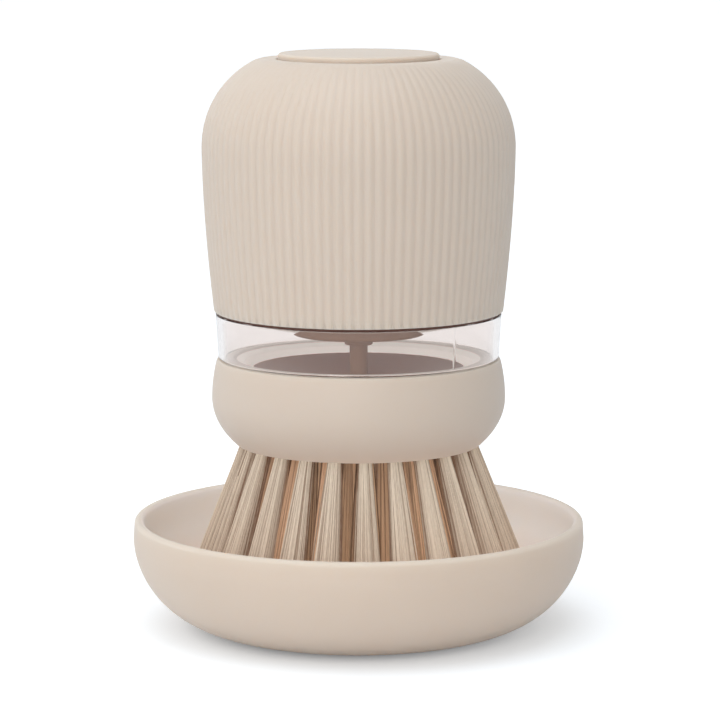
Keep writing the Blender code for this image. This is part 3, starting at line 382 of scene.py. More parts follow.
def head_outline():
    """Collar's top, bulged side, lip, recess of the plate, hollow under the soap floor, socket of the
    seat, funnel of the soap floor and channel of the neck, closed on itself."""
    top = rounded([
        (CHANNEL_RADIUS, 54), (CHANNEL_RADIUS, COLLAR_TOP_Z, 0.25), (COLLAR_TOP_RADIUS, COLLAR_TOP_Z, 0.45),
        (COLLAR_TOP_RADIUS + 0.1, 54.5),
    ])[1:-1]
    under = rounded([
        (LIP_RADIUS + 0.6, LIP_Z + 0.8), (LIP_RADIUS, LIP_Z, 0.3), (RECESS_RADIUS, LIP_Z, 0.15),
        (RECESS_RADIUS, 39.7), (RECESS_RADIUS + 0.6, 40.9, 0.5), (RECESS_RADIUS, 42.1),
        (RECESS_RADIUS, 42.5, 0.2), (20.5, 42.5, 0.3), (20.5, 48.8, 0.6), (17.4, 51.0, 0.6),
        (7.2, 48.7, 0.4), (7.2, 42.5, 0.2), (OUTLET_RADIUS, 42.5, 0.2), (OUTLET_RADIUS, 49.6), (6.9, 49.6),
        (6.9, SEAT_TOP_Z, 0.2), (21.4, FLOOR_TOP_Z, 0.5), (CHANNEL_WALL_RADIUS, FLOOR_TOP_Z - 1.3, 0.5),
        (CHANNEL_WALL_RADIUS, CHANNEL_FLOOR_Z, 0.3),
        (CHANNEL_RADIUS, CHANNEL_FLOOR_Z, 0.3), (CHANNEL_RADIUS, 53),
    ], 5)[1:-1]
    return refined(np.vstack([top, collar_side(28), under]), 1.2, ring=True)


def helical_bars(inner, outer, span, underside, phases):
    """Three bars that climb with the neck's lead: at phase p of its span a bar's section stands at the
    bar's own turn plus p, lifted by the lead's share of p. Its ends shrink to the section's middle."""
    corner = rounded([(inner, 0), (outer, 0, 0.2), (outer, LUG_THICKNESS, 0.2), (inner, LUG_THICKNESS)], 3)
    share = np.clip(np.linspace(-0.02, 1.02, phases), 0, 1)
    phase = span * (share - 0.5)
    size = np.where((np.arange(phases) == 0) | (np.arange(phases) == phases - 1), 0, 1)[:, None]
    middle = corner.mean(0)
    radius = middle[0] + (corner[:, 0] - middle[0]) * size
    height = middle[1] + (corner[:, 1] - middle[1]) * size + underside + LUG_LEAD * phase[:, None] / TURN
    bars = []
    for bar in range(3):
        turn = (phase + TURN * bar / 3)[:, None]
        bars.append((np.stack([radius * np.cos(turn), radius * np.sin(turn), height], -1), False))
    return bars


def dome_rows():
    """Outer outline of the dome from the deck's hole down to the seam, with the depth that the grooves
    have at each point: a flat deck, an arc over the shoulder, and a side that tapers with a power of the
    way down. Going up the shoulder the grooves run out evenly with the height, and they end on the
    deck's edge."""
    deck = np.stack([np.linspace(DECK_HOLE + 0.35, DECK_RADIUS - 0.5, 12), np.full(12, DECK_Z)], -1)
    turn = SHOULDER_TURN * np.linspace(0.965, 0, 20)
    shoulder = np.stack([
        DOME_WIDE - SHOULDER_RADIUS * (1 - np.cos(turn)), DOME_WIDEST_Z + SHOULDER_RADIUS * np.sin(turn),
    ], -1)
    fall = np.linspace(0, 1, 26)[1:]
    side = np.stack([
        DOME_WIDE - (DOME_WIDE - DOME_BOTTOM_RADIUS) * fall ** DOME_TAPER_POWER,
        DOME_WIDEST_Z - (DOME_WIDEST_Z - DOME_BOTTOM_Z - 0.12) * fall,
    ], -1)
    outline = np.vstack([deck, shoulder, side])
    depth = RIB_DEPTH * np.interp(outline[:, 1], [103, DECK_Z], [1, 0.2])
    depth *= np.clip((outline[:, 0] - DECK_RADIUS + 1.9) / 1.6, 0, 1)
    return outline, depth


def dome_grid():
    """Fluted dome as one ring of rows. The outer rows sink square to the outline by the groove's depth
    times (1 - cos of 96 turns) / 2 to a power over one, which leaves rounded ribs and narrower grooves.
    The rows inside are plain: hole, deck's underside, well's collar, hollow, and the lower edge."""
    outline, depth = dome_rows()
    run = np.gradient(outline, axis=0)
    run /= np.linalg.norm(run, axis=1)[:, None]
    columns = RIBS * COLUMNS_PER_RIB
    turn = np.arange(columns) * TURN / columns
    groove = ((1 - np.cos(RIBS * turn)) / 2) ** GROOVE_POWER
    sink = depth[:, None] * groove
    radius = outline[:, :1] + run[:, 1:2] * sink
    height = outline[:, 1:2] - run[:, :1] * sink
    outer = np.stack([radius * np.cos(turn), radius * np.sin(turn), height], -1)
    arc = SHOULDER_TURN * np.linspace(0.85, 0, 10)
    hollow_arc = np.stack([
        DOME_WIDE - DOME_WALL - (SHOULDER_RADIUS - DOME_WALL) * (1 - np.cos(arc)),
        np.minimum(DOME_WIDEST_Z + (SHOULDER_RADIUS - DOME_WALL) * np.sin(arc), DECK_UNDERSIDE_Z),
    ], -1)
    fall = np.linspace(0, 1, 12)[1:]
    hollow_side = np.stack([
        DOME_WIDE - DOME_WALL - (DOME_WIDE - DOME_BOTTOM_RADIUS) * fall ** DOME_TAPER_POWER,
        DOME_WIDEST_Z - (DOME_WIDEST_Z - DOME_BOTTOM_Z) * fall,
    ], -1)
    edge = np.array([
        (27.1, DOME_BOTTOM_Z), (27.1, 66.2), (28.5, 66.2), (28.5, DOME_BOTTOM_Z), (28.9, DOME_BOTTOM_Z),
    ])
    hole = rounded([
        (17.5, DECK_Z), (DECK_HOLE, DECK_Z, 0.3), (DECK_HOLE, DECK_UNDERSIDE_Z),
        (WELL_COLLAR_RADIUS, DECK_UNDERSIDE_Z), (WELL_COLLAR_RADIUS, WELL_COLLAR_END_Z, 0.3),
        (22.0, WELL_COLLAR_END_Z, 0.3), (22.0, 112),
    ], 5)[1:-1]
    inside = np.vstack([hole, hollow_arc, hollow_side, edge])
    return [(np.concatenate([outer, turned(inside[::-1], columns)]), True)]


def coil(rows_per_turn=40, sides=10):
    """Spring wire: its middle climbs slowly in the first and last turn and evenly between, and the wire's
    section is a circle across the middle line, laid out by the outward and the upward direction there."""
    low, high = SPRING_LOW_Z + SPRING_WIRE, SPRING_HIGH_Z - SPRING_WIRE
    turns = np.linspace(0, SPRING_TURNS, SPRING_TURNS * rows_per_turn + 1)
    stops = [low, low + SPRING_END_RISE, high - SPRING_END_RISE, high]
    height = np.interp(turns, [0, 1, SPRING_TURNS - 1, SPRING_TURNS], stops)
    angle = turns * TURN
    middle = np.stack([SPRING_RADIUS * np.cos(angle), SPRING_RADIUS * np.sin(angle), height], -1)
    along = np.gradient(middle, axis=0)
    along /= np.linalg.norm(along, axis=1)[:, None]
    outward = np.stack([np.cos(angle), np.sin(angle), 0 * angle], -1)
    upward = np.cross(along, outward)
    side = np.arange(sides) * TURN / sides
    section = outward[:, None] * np.cos(side)[:, None] + upward[:, None] * np.sin(side)[:, None]
    wire = middle[:, None] + SPRING_WIRE * section
    ends = np.repeat(middle[[0, -1]][:, None], sides, 1)
    return np.concatenate([ends[:1], wire, ends[1:]])


def tuft_lines(ring_radius, lean, root, tip, bow, gap, steps):
    """Lines that hang down a tuft, as points (..., step, 3) in its own frame of out, sideways and height.

    Going down, a line moves out with the tuft's lean, away from the tuft's middle by its tip's offset as
    the tuft fans open, and by a slight bow. It ends its gap above the bowl, at a fall found by halving.
    """
    slope = math.tan(math.radians(lean))

    def place(fall):
        share = fall / BRISTLE_FALL
        sway = np.sin(math.pi * np.clip(share, 0, 1))
        out = ring_radius + fall * slope + root[0] + tip[0] * share + bow[0] * sway
        return out, root[1] + tip[1] * share + bow[1] * sway

    shortest, longest = np.zeros_like(gap), np.full_like(gap, PLATE_FACE_Z)
    for _ in range(24):
        fall = (shortest + longest) / 2
        out, side = place(fall)
        clear = PLATE_FACE_Z - fall - bowl_height(np.hypot(out, side) + FILAMENT_RADIUS) > gap + 0.1
        shortest, longest = np.where(clear, fall, shortest), np.where(clear, longest, fall)
    stops = [shortest * step for step in steps]
    return np.stack([np.stack([*place(stop), PLATE_FACE_Z - stop], -1) for stop in stops], -2)


def set_round(points, turn):
    """Points (tuft, ...) of each tuft's own frame, turned to the tuft's place in its ring."""
    turn = turn.reshape(-1, *[1] * (points.ndim - 2))
    x, y, height = np.moveaxis(points, -1, 0)
    return np.stack([x * np.cos(turn) - y * np.sin(turn), x * np.sin(turn) + y * np.cos(turn), height], -1)


def tuft_tone_and_painted_shade(chance, out, side, painted_shade):
    """Painted shade by the place of a root in its tuft: darker with a power of the way to the tuft's back,
    which faces the ring's middle, and with a power of the way to its sides, where the next tuft stands close:
    it stands for the shadow of the other tufts. Chance makes each line darker by a share of its own, a tone
    of its own."""
    back_dark, back_power, side_dark, side_power = painted_shade
    back = np.clip(0.5 - 0.5 * out / TUFT_ROOT, 0, 1)
    lit = 1.0 - back_dark * back ** back_power - side_dark * np.abs(side / TUFT_ROOT) ** side_power
    return np.clip(lit - np.abs(chance.normal(0, SHADE_SPREAD, np.shape(lit))), 0, 1)


def filaments(ring_radius, tufts, lean, first_turn, painted_shade, count, seed, stations=7, sides=4):
    """Bristles of one ring of tufts: points (filament, station, side) and a shade for each filament, its own
    tone with painted shade.

    In a tuft the roots lie on a sunflower spiral, whose radius goes with the number to the power 0.42, so
    more of them stand on the tuft's outside. A few stray further out than the tuft's fan. Each filament is
    a thin bar of four sides along its line.
    """
    chance = np.random.default_rng(seed)
    number = np.arange(count) + 0.5
    spot = (number / count) ** 0.42
    shape = (tufts, count)
    spiral = number * math.pi * (3 - math.sqrt(5)) + chance.uniform(0, TURN, (tufts, 1))
    root = TUFT_ROOT * spot * np.cos(spiral), TUFT_ROOT * spot * np.sin(spiral)
    stray = np.where(chance.random(shape) < 0.06, chance.uniform(1.1, 1.5, shape), 1.0)
    fan = (TUFT_TIP / TUFT_ROOT - 1) * stray * chance.uniform(0.93, 1.05, (tufts, 1))
    tip = (root[0] * fan + chance.normal(0, 0.3, shape),
           root[1] * fan + chance.normal(0, 0.3, shape) + chance.normal(0, 0.2, (tufts, 1)))
    bow = chance.normal(0, 0.12, shape), chance.normal(0, 0.16, shape)
    steps = np.linspace(-0.6 / BRISTLE_FALL, 1, stations)
    path = tuft_lines(ring_radius, lean, root, tip, bow, chance.uniform(0.02, 0.5, shape) ** 1.5, steps)
    along = np.gradient(path, axis=2)
    along /= np.linalg.norm(along, axis=-1)[..., None]
    across = np.cross(along, [0.0, 1.0, 0.0])
    across /= np.linalg.norm(across, axis=-1)[..., None]
    beside = np.cross(along, across)
    roll = chance.uniform(0, TURN, shape)[..., None, None] + np.arange(sides) * TURN / sides
    width = FILAMENT_RADIUS * (1 - 0.3 * np.clip(steps, 0, 1) ** 3)[:, None, None]
    section = across[..., None, :] * np.cos(roll)[..., None] + beside[..., None, :] * np.sin(roll)[..., None]
    points = path[..., None, :] + width * section
    turn = math.radians(first_turn - 90) + np.arange(tufts) * TURN / tufts
    shade = tuft_tone_and_painted_shade(chance, *root, painted_shade)
    return set_round(points, turn).reshape(-1, stations, sides, 3), shade.reshape(-1), steps


def tuft_hearts(ring_radius, tufts, lean, first_turn, painted_shade, seed, lines=24, stations=9):
    """Close-packed middle of each tuft, as points (tuft, station, line): the lines lie round the tuft at
    a little under its radius, each with its own small share more or less, so the surface is ridged along
    its length, and the first and last station draw together in one point."""
    chance = np.random.default_rng(seed)
    angle = np.arange(lines) * TURN / lines
    share = HEART_SHARE * (1 + chance.normal(0, 0.05, (tufts, lines)))
    root = TUFT_ROOT * share * np.cos(angle), TUFT_ROOT * share * np.sin(angle)
    fan = TUFT_TIP / TUFT_ROOT * HEART_FAN - 1
    tip = root[0] * fan, root[1] * fan
    still = np.zeros((tufts, lines))
    start = -0.4 / BRISTLE_FALL
    steps = np.concatenate([[start], np.linspace(start, 0.955, stations - 2), [0.96]])
    path = tuft_lines(ring_radius, lean, root, tip, (still, still), still + 0.4, steps).swapaxes(1, 2)
    path[:, [0, -1]] = path[:, [0, -1]].mean(2, keepdims=True)
    turn = math.radians(first_turn - 90) + np.arange(tufts) * TURN / tufts
    return set_round(path, turn), tuft_tone_and_painted_shade(chance, *root, painted_shade), steps


def tuft_piece(name, ring, seed, slice_inner, slice_outer, material, node):
    """Ring of tufts on its slice of the plate: filaments as closed bars, whose ends are one face each,
    and the tufts' hearts. Points carry their filament's shade and how far down it they lie. Light passes
    between the filaments, as it does through loose bristle, so they throw no shadow on the bowl. Their
    shade is painted instead: each filament's own tone, and painted shade at each tuft's back and sides."""
    points, shade, steps = filaments(*ring, seed)
    total, stations, sides = points.shape[:3]
    order = np.arange(total * stations * sides).reshape(total, stations, sides)
    upper, lower = order[:, :-1], order[:, 1:]
    walls = np.stack([upper, np.roll(upper, -1, 2), np.roll(lower, -1, 2), lower], -1).reshape(-1, 4)
    caps = np.concatenate([order[:, 0, ::-1], order[:, -1]])
    bars = np.concatenate([walls, caps])
    layers = [points.reshape(-1, 3)]
    if enclosed(layers[0], bars) < 0:
        bars = bars[:, ::-1]
    faces = bars.tolist()
    hearts, heart_shade, heart_steps = tuft_hearts(*ring[:-1], seed + 50)
    for heart in hearts:
        add_grid(layers, faces, heart, False)
    fibre_faces = len(faces)
    top_z = PLATE_FACE_Z + 1.2
    backing = turned(refined(rounded([
        (slice_outer, top_z), (slice_outer, PLATE_FACE_Z), (slice_inner, PLATE_FACE_Z), (slice_inner, top_z),
    ]), 1.5, ring=True), 144)
    add_grid(layers, faces, backing, True)
    thing = new_piece(name, layers, faces, [material, BEIGE], "head", node, 95)
    slots = np.repeat([0, 1], [fibre_faces, len(faces) - fibre_faces])
    thing.data.polygons.foreach_set("material_index", slots)
    spare = np.zeros(len(layers[-1]))
    point_values(thing, "shade", np.concatenate([
        np.repeat(shade, stations * sides),
        np.repeat(heart_shade[:, None], len(heart_steps), 1).ravel(), spare,
    ]))
    point_values(thing, "down", np.concatenate([
        np.tile(np.repeat(np.clip(steps, 0, 1), sides), total),
        np.tile(np.repeat(np.clip(heart_steps, 0, 1), hearts.shape[2]), len(hearts)), spare,
    ]))
    let_light_through(thing)


# Finishes


def display(colour):
    """Linear colour of one seen on a screen, each value from 0 to 255."""
    value = np.array(colour, float) / 255
    light = np.where(value <= 0.04045, value / 12.92, ((value + 0.055) / 1.055) ** 2.4)
    return (*light.tolist(), 1.0)


def add(tree, kind, **settings):
    """New node of a tree, with its own settings."""
    node = tree.nodes.new(kind)
    for key, value in settings.items():
        setattr(node, key, value)
    return node


def give(tree, socket, value):
    """Feed a socket from another socket, or with a plain value."""
    if isinstance(value, bpy.types.NodeSocket):
        tree.links.new(value, socket)
    else:
        socket.default_value = value


def arithmetic(tree, operation, first, second):
    """Math node of two values, each a number or a socket."""
    node = add(tree, "ShaderNodeMath", operation=operation)
    give(tree, node.inputs[0], first)
    give(tree, node.inputs[1], second)
    return node.outputs[0]


def weighted(tree, first, first_weight, second, second_weight):
    """Sum of two values, each times its weight."""
    first_part = arithmetic(tree, "MULTIPLY", first, first_weight)
    return arithmetic(tree, "ADD", first_part, arithmetic(tree, "MULTIPLY", second, second_weight))


def blend_colours(tree, share, first, second):
    """Mix node between two colours, each a colour or a socket."""
    node = add(tree, "ShaderNodeMix", data_type="RGBA")
    for number, value in ((0, share), (6, first), (7, second)):
        give(tree, node.inputs[number], value)
    return node.outputs[2]


def noise(tree, place, scale, detail):
    """Noise around its middle value, as a socket."""
    node = add(tree, "ShaderNodeTexNoise")
    node.inputs["Detail"].default_value = detail
    give(tree, node.inputs["Scale"], scale)
    tree.links.new(place, node.inputs["Vector"])
    return node.outputs["Fac"]


def new_group(name, inputs, outputs):
    """Empty node group with named sockets, each (name, kind, value)."""
    tree = bpy.data.node_groups.new(name, "ShaderNodeTree")
    for label, kind, value in inputs:
        socket = tree.interface.new_socket(name=label, in_out="INPUT", socket_type=kind)
        if value is not None:
            socket.default_value = value
    for label, kind in outputs:
        tree.interface.new_socket(name=label, in_out="OUTPUT", socket_type=kind)
    return tree, add(tree, "NodeGroupInput").outputs, add(tree, "NodeGroupOutput").inputs


def moulded_grain():
    """Fine grain of a moulded surface, slow clouds in its colour, and the roughness that goes with them."""
    tree, given, out = new_group("moulded_grain", [
        ("Place", "NodeSocketVector", None), ("Colour", "NodeSocketColor", (0.5, 0.5, 0.5, 1)),
        ("Cloud Colour", "NodeSocketColor", (0.5, 0.5, 0.5, 1)), ("Grain Scale", "NodeSocketFloat", 3500.0),
        ("Roughness", "NodeSocketFloat", 0.5), ("Roughness Spread", "NodeSocketFloat", 0.1),
    ], [("Colour", "NodeSocketColor"), ("Roughness", "NodeSocketFloat"), ("Height", "NodeSocketFloat")])
    fine = noise(tree, given["Place"], given["Grain Scale"], 1.5)
    clouds = noise(tree, given["Place"], CLOUD_SCALE, 3.0)
    share = weighted(tree, clouds, 0.8, fine, 0.2)
    tree.links.new(blend_colours(tree, share, given["Colour"], given["Cloud Colour"]), out["Colour"])
    swing = arithmetic(tree, "MULTIPLY", arithmetic(tree, "SUBTRACT", clouds, 0.5), given["Roughness Spread"])
    tree.links.new(arithmetic(tree, "ADD", given["Roughness"], swing), out["Roughness"])
    tree.links.new(fine, out["Height"])
    return tree


def finish_base(name):
    """Material with its shader and the object's own coordinates."""
    material = bpy.data.materials.new(name)
    material.use_nodes = True
    tree = material.node_tree
    place = add(tree, "ShaderNodeTexCoord").outputs["Object"]
    return material, tree, tree.nodes["Principled BSDF"], place


def grained(name, colour, cloud, roughness, spread, grain=3500.0, depth=0.000012, strength=0.25, **sockets):
    """Finish with moulded grain: colours and roughness from the group, its height through a bump."""
    material, tree, shader, place = finish_base(name)
    grain_node = add(tree, "ShaderNodeGroup", node_tree=GRAIN)
    for label, value in (
        ("Place", place), ("Colour", display(colour)), ("Cloud Colour", display(cloud)),
        ("Grain Scale", grain), ("Roughness", roughness), ("Roughness Spread", spread),
    ):
        give(tree, grain_node.inputs[label], value)
    bump = add(tree, "ShaderNodeBump")
    bump.inputs["Strength"].default_value = strength
    bump.inputs["Distance"].default_value = depth
    tree.links.new(grain_node.outputs["Height"], bump.inputs["Height"])
    tree.links.new(bump.outputs["Normal"], shader.inputs["Normal"])
    tree.links.new(grain_node.outputs["Colour"], shader.inputs["Base Color"])
    tree.links.new(grain_node.outputs["Roughness"], shader.inputs["Roughness"])
    for socket, value in sockets.items():
        shader.inputs[socket.replace("_", " ")].default_value = value
    return material


def beige(name, spread=0.0018):
    """Matt beige plastic, through which light spreads as far as given."""
    return grained(
        name, (221, 206, 191), (217, 202, 187), roughness=0.5, spread=0.12,
        Subsurface_Weight=1.0, Subsurface_Radius=(1.0, 0.92, 0.84), Subsurface_Scale=spread)


def bowl_plastic_with_painted_light():
    """The beige plastic, painted a little paler up the inside of the bowl by the points' share of being
    inside: a painted light where the bowl's walls lie in shade.
    """
    material = beige("bowl_plastic_painted_light", 0.004)
    tree = material.node_tree
    grain_node = next(node for node in tree.nodes if node.type == "GROUP")
    inside = add(tree, "ShaderNodeAttribute", attribute_name="inside").outputs["Fac"]
    colour = blend_colours(tree, inside, grain_node.outputs["Colour"], display(BOWL_PAINTED_LIGHT))
    tree.links.new(colour, tree.nodes["Principled BSDF"].inputs["Base Color"])
    return material


def neck_plastic(name, colour, cloud, **sockets):
    """Finely frosted plastic of the clear moulding's neck."""
    return grained(name, colour, cloud, roughness=0.42, spread=0.1, grain=2600.0, IOR=CLEAR_IOR, **sockets)


def fibre_shades():
    """Colour and roughness of bristle: each filament has its own shade between the dark and the light
    colour, fine streaks run down it, and it goes over to the tip's colour on its way down. The shade is the
    filament's own tone and painted shade, so the dark colour stands for shade, and the tip's colour leaves
    the roots of the middle and inner tufts darker, a painted shade under the plate."""
    tree, given, out = new_group("fibre_shades", [
        ("Place", "NodeSocketVector", None), ("Shade", "NodeSocketFloat", 0.5),
        ("Down", "NodeSocketFloat", 0.5), ("Dark", "NodeSocketColor", (0.3, 0.3, 0.3, 1)),
        ("Light", "NodeSocketColor", (0.6, 0.6, 0.6, 1)),
        ("Tip", "NodeSocketColor", (0.6, 0.6, 0.6, 1)), ("Tip Share", "NodeSocketFloat", 0.3),
    ], [("Colour", "NodeSocketColor"), ("Roughness", "NodeSocketFloat")])
    stretch = add(tree, "ShaderNodeMapping")
    stretch.inputs["Scale"].default_value = (1.0, 1.0, 0.12)
    tree.links.new(given["Place"], stretch.inputs["Vector"])
    streak = noise(tree, stretch.outputs[0], 2600.0, 2.0)
    mixed = weighted(tree, given["Shade"], 0.75, streak, 0.25)
    body = blend_colours(tree, mixed, given["Dark"], given["Light"])
    share = arithmetic(tree, "MULTIPLY", given["Down"], given["Tip Share"])
    tree.links.new(blend_colours(tree, share, body, given["Tip"]), out["Colour"])
    tree.links.new(arithmetic(tree, "ADD", arithmetic(tree, "MULTIPLY", streak, 0.2), 0.42), out["Roughness"])
    return tree


def bristle_fibre(name, dark, light, tip, tip_share):
    """Plant-coloured fibre of one ring of tufts, from the points' shade and how far down they lie. Its dark
    colour is painted shade, near black for the middle and inner rings, whose tufts lie deep in shade.
    """
    material, tree, shader, place = finish_base(name)
    fibre = add(tree, "ShaderNodeGroup", node_tree=FIBRE_SHADES)
    tree.links.new(place, fibre.inputs["Place"])
    for label in ("shade", "down"):
        value = add(tree, "ShaderNodeAttribute", attribute_name=label).outputs["Fac"]
        tree.links.new(value, fibre.inputs[label.title()])
    for label, colour in (("Dark", dark), ("Light", light), ("Tip", tip)):
        fibre.inputs[label].default_value = display(colour)
    fibre.inputs["Tip Share"].default_value = tip_share
    tree.links.new(fibre.outputs["Colour"], shader.inputs["Base Color"])
    tree.links.new(fibre.outputs["Roughness"], shader.inputs["Roughness"])
    shader.inputs["Specular IOR Level"].default_value = 0.15
    return material


GRAIN = moulded_grain()
BEIGE = beige("beige_moulded_plastic")
BOWL_BEIGE = bowl_plastic_with_painted_light()
INNER = grained(
    "inner_moulded_plastic", (168, 132, 110), (160, 125, 103), roughness=0.42, spread=0.1,
    Specular_IOR_Level=0.2)
# The soap floor inside the head is the same moulding as the collar, painted a darker brown: painted shade and
# warm bounced light inside the head.
SOAP_FLOOR_PAINTED_SHADE = grained(
    "soap_floor_in_painted_shade", (182, 122, 94), (162, 106, 80), roughness=0.3, spread=0.12,
    Specular_IOR_Level=0.15)
FROSTED = neck_plastic("frosted_neck_plastic", (232, 224, 216), (226, 217, 208), Transmission_Weight=0.2)
# The neck's bore is paler than the rest of the neck and glows though it is no lamp: painted light inside the
# band, where little light reaches. The shoulder is darker, a painted shade over the gasket, with a weaker
# painted glow.
BORE = neck_plastic(
    "neck_bore_painted_glow", (243, 238, 233), (238, 232, 226),
    Transmission_Weight=0.2, Emission_Color=NECK_GLOW, Emission_Strength=0.35)
SHOULDER = neck_plastic(
    "neck_shoulder_painted_shade_and_glow", (212, 200, 191), (204, 190, 180),
    Emission_Color=NECK_GLOW, Emission_Strength=0.2)
RUBBER = grained("seal_rubber", (98, 60, 48), (84, 52, 42), roughness=0.62, spread=0.15, grain=2200.0)
STEEL = grained(
    "drawn_spring_steel", (176, 176, 178), (160, 160, 164), roughness=0.28, spread=0.12,
    grain=5200.0, depth=0.000004, strength=0.2, Metallic=1.0)
CLEAR = grained(
    "clear_plastic", (249, 243, 240), (247, 240, 236), roughness=0.03, spread=0.02,
    grain=900.0, depth=0.00002, strength=0.05, Transmission_Weight=1.0, IOR=CLEAR_IOR)
FIBRE_SHADES = fibre_shades()
# The light colours are the fibre's own; the dark colours and the tips' share paint the shade between and
# under the tufts.
OUTER_FIBRE = bristle_fibre("outer_bristle_fibre", (100, 56, 18), (249, 231, 208), (238, 218, 196), 0.12)
MIDDLE_FIBRE = bristle_fibre("middle_bristle_fibre", (28, 8, 1), (236, 190, 154), (216, 172, 134), 0.3)
INNER_FIBRE = bristle_fibre("inner_bristle_fibre", (24, 6, 1), (255, 212, 174), (216, 170, 128), 0.25)


# Tray and head

bowl = tray_outline()
tray = piece(
    "tray_bowl", [(turned(bowl, TRAY_COLUMNS), False)], BOWL_BEIGE, "tray", "drip_tray")
# Each point's share of the bowl's painted light: none from the rim outwards, growing over the first 1.4 mm
# inside the rim, a quarter on the floor and whole from 15 mm up the wall.
bowl_run = np.concatenate([[0], np.cumsum(np.linalg.norm(np.diff(bowl, axis=0), axis=1))])
from_rim = bowl_run[bowl[:, 1].argmax()] - bowl_run
inside = np.clip(from_rim / 1.4, 0, 1) * np.interp(bowl[:, 1], [4, 15], [0.25, 1])
point_values(tray, "inside", np.repeat(inside, TRAY_COLUMNS))

head = [(turned(head_outline(), 256), True)]
head += helical_bars(SOCKET_RADIUS, CHANNEL_RADIUS + 0.5, math.radians(60), LEDGE_Z, 26)
collar = piece("head_collar", head, BEIGE, "head", "head_shell")
# The soap floor's faces, inside the channel wall and above the hollow, take the painted shade.
second_finish(collar, SOAP_FLOOR_PAINTED_SHADE, lambda radius, height: (
    (radius < CHANNEL_WALL_RADIUS + 0.2) & (height > FLOOR_LOW_Z)))

turned_piece("tuft_plate", [
    (PLATE_RADIUS, PLATE_TOP_Z, 0.2), (PLATE_RADIUS, 41.8), (PLATE_RADIUS + 0.5, 40.9, 0.3),
    (PLATE_RADIUS, 40.0), (PLATE_RADIUS, PLATE_UNDER_Z, 0.1), (OUTLET_RADIUS, PLATE_UNDER_Z, 0.1),
    (OUTLET_RADIUS, PLATE_TOP_Z, 0.3),
], BEIGE, "head", "brush_plate", 192)

tuft_piece("outer_tufts", OUTER_TUFTS, 11, OUTER_SLICE, PLATE_RADIUS, OUTER_FIBRE, "bristles_outer")
tuft_piece("middle_tufts", MIDDLE_TUFTS, 12, MIDDLE_SLICE, OUTER_SLICE, MIDDLE_FIBRE, "bristles_middle")
tuft_piece("inner_tufts", INNER_TUFTS, 13, OUTLET_RADIUS, MIDDLE_SLICE, INNER_FIBRE, "bristles_inner")

turned_piece("outlet_seat", [
    (6.6, SEAT_TOP_Z, 0.2), (6.6, 49.9, 0.1), (5.2, 49.9), (5.2, 41.5, 0.25), (3.2, 41.5, 0.2),
    (3.2, SEAT_TOP_Z, 0.35),
], INNER, "head", "valve_seat", 96, 0.8)


# Neck and band

turned_piece("shoulder_gasket", [
    (SOCKET_RADIUS, 55.45, 0.35), (SLEEVE_RADIUS, 55.45, 0.35), (SLEEVE_RADIUS, 54.2, 0.35),
    (SOCKET_RADIUS, 54.2, 0.35),
], RUBBER, "neck_seal", "neck_gasket", 160, 0.5)


def band_grid():
    """Clear tube. Outside it carries one upright moulding line, where the radius grows by a narrow bell
    curve of the turn."""
    near_line = (LINE_TURN + np.radians(np.linspace(-1.2, 1.2, 25))) % TURN
    turn = np.unique(np.concatenate([np.arange(256) * TURN / 256, near_line]))
    outline = refined(rounded([
        (29.0, BAND_TOP_Z, 0.12), (28.5, BAND_BOTTOM_Z, 0.3),
        (27.2, BAND_BOTTOM_Z, 0.1), (27.5, BAND_TOP_Z, 0.1),
    ]), 0.9, ring=True)
    points = turned(outline, turn)
    from_line = (turn - LINE_TURN + math.pi) % TURN - math.pi
    bell = np.exp(-((from_line * BAND_MIDDLE_RADIUS / LINE_WIDTH) ** 2))
    grow = 1 + LINE_HEIGHT / BAND_MIDDLE_RADIUS * bell * (outline[:, :1] > 28.2)
    points[..., :2] *= grow[..., None]
    return points


def is_bore(radius, height):
    """Faces of the neck's bore, of its sloped inner rim and of its top, which take the painted glow."""
    rim = (radius < NECK_RADIUS - 0.05) & (height > SHOULDER_Z - 0.6)
    return (height < INSIDE_BAND_Z) & ((radius < NECK_BORE + 0.3) | (height > SHOULDER_Z) | rim)


def is_shoulder(radius, height):
    """Faces of the neck's shoulder, which lies over the gasket, and which take a painted shade and a weaker
    painted glow.
    """
    return (radius > NECK_RADIUS) & (height < INSIDE_BAND_Z) & (height > SHOULDER_Z)


band = piece("clear_band", [(band_grid(), True)], CLEAR, "handle", "clear_reservoir")

neck_corners = [
    (27.18, BAND_BOTTOM_Z + 0.2), (27.18, BAND_BOTTOM_Z), (NECK_RADIUS, BAND_BOTTOM_Z),
    (NECK_RADIUS, NECK_END_Z, 0.4), (NECK_BORE, NECK_END_Z, 0.4), (NECK_BORE, BAND_BOTTOM_Z - 0.65, 0.3),
    (25.3, BAND_BOTTOM_Z + 0.2, 0.2),
]
spigot_corners = [
    (SLEEVE_RADIUS, SPIGOT_TOP_Z, 0.3), (SLEEVE_RADIUS, BAND_TOP_Z), (27.45, BAND_TOP_Z, 0.1),
    (27.45, BAND_TOP_Z - 0.35, 0.1), (24.7, BAND_TOP_Z - 0.35, 0.3), (24.7, SPIGOT_TOP_Z, 0.4),
]
neck = [(turned(refined(rounded(corners), 0.9, ring=True), 256), True)
        for corners in (neck_corners, spigot_corners)]
neck += helical_bars(NECK_RADIUS - 0.5, SLEEVE_RADIUS, math.radians(30), LEDGE_Z - 1.8, 14)
neck_piece = piece("frosted_neck", neck, FROSTED, "handle", "clear_reservoir")
second_finish(neck_piece, BORE, is_bore)
second_finish(neck_piece, SHOULDER, is_shoulder)
let_light_through(band, neck_piece, collar)

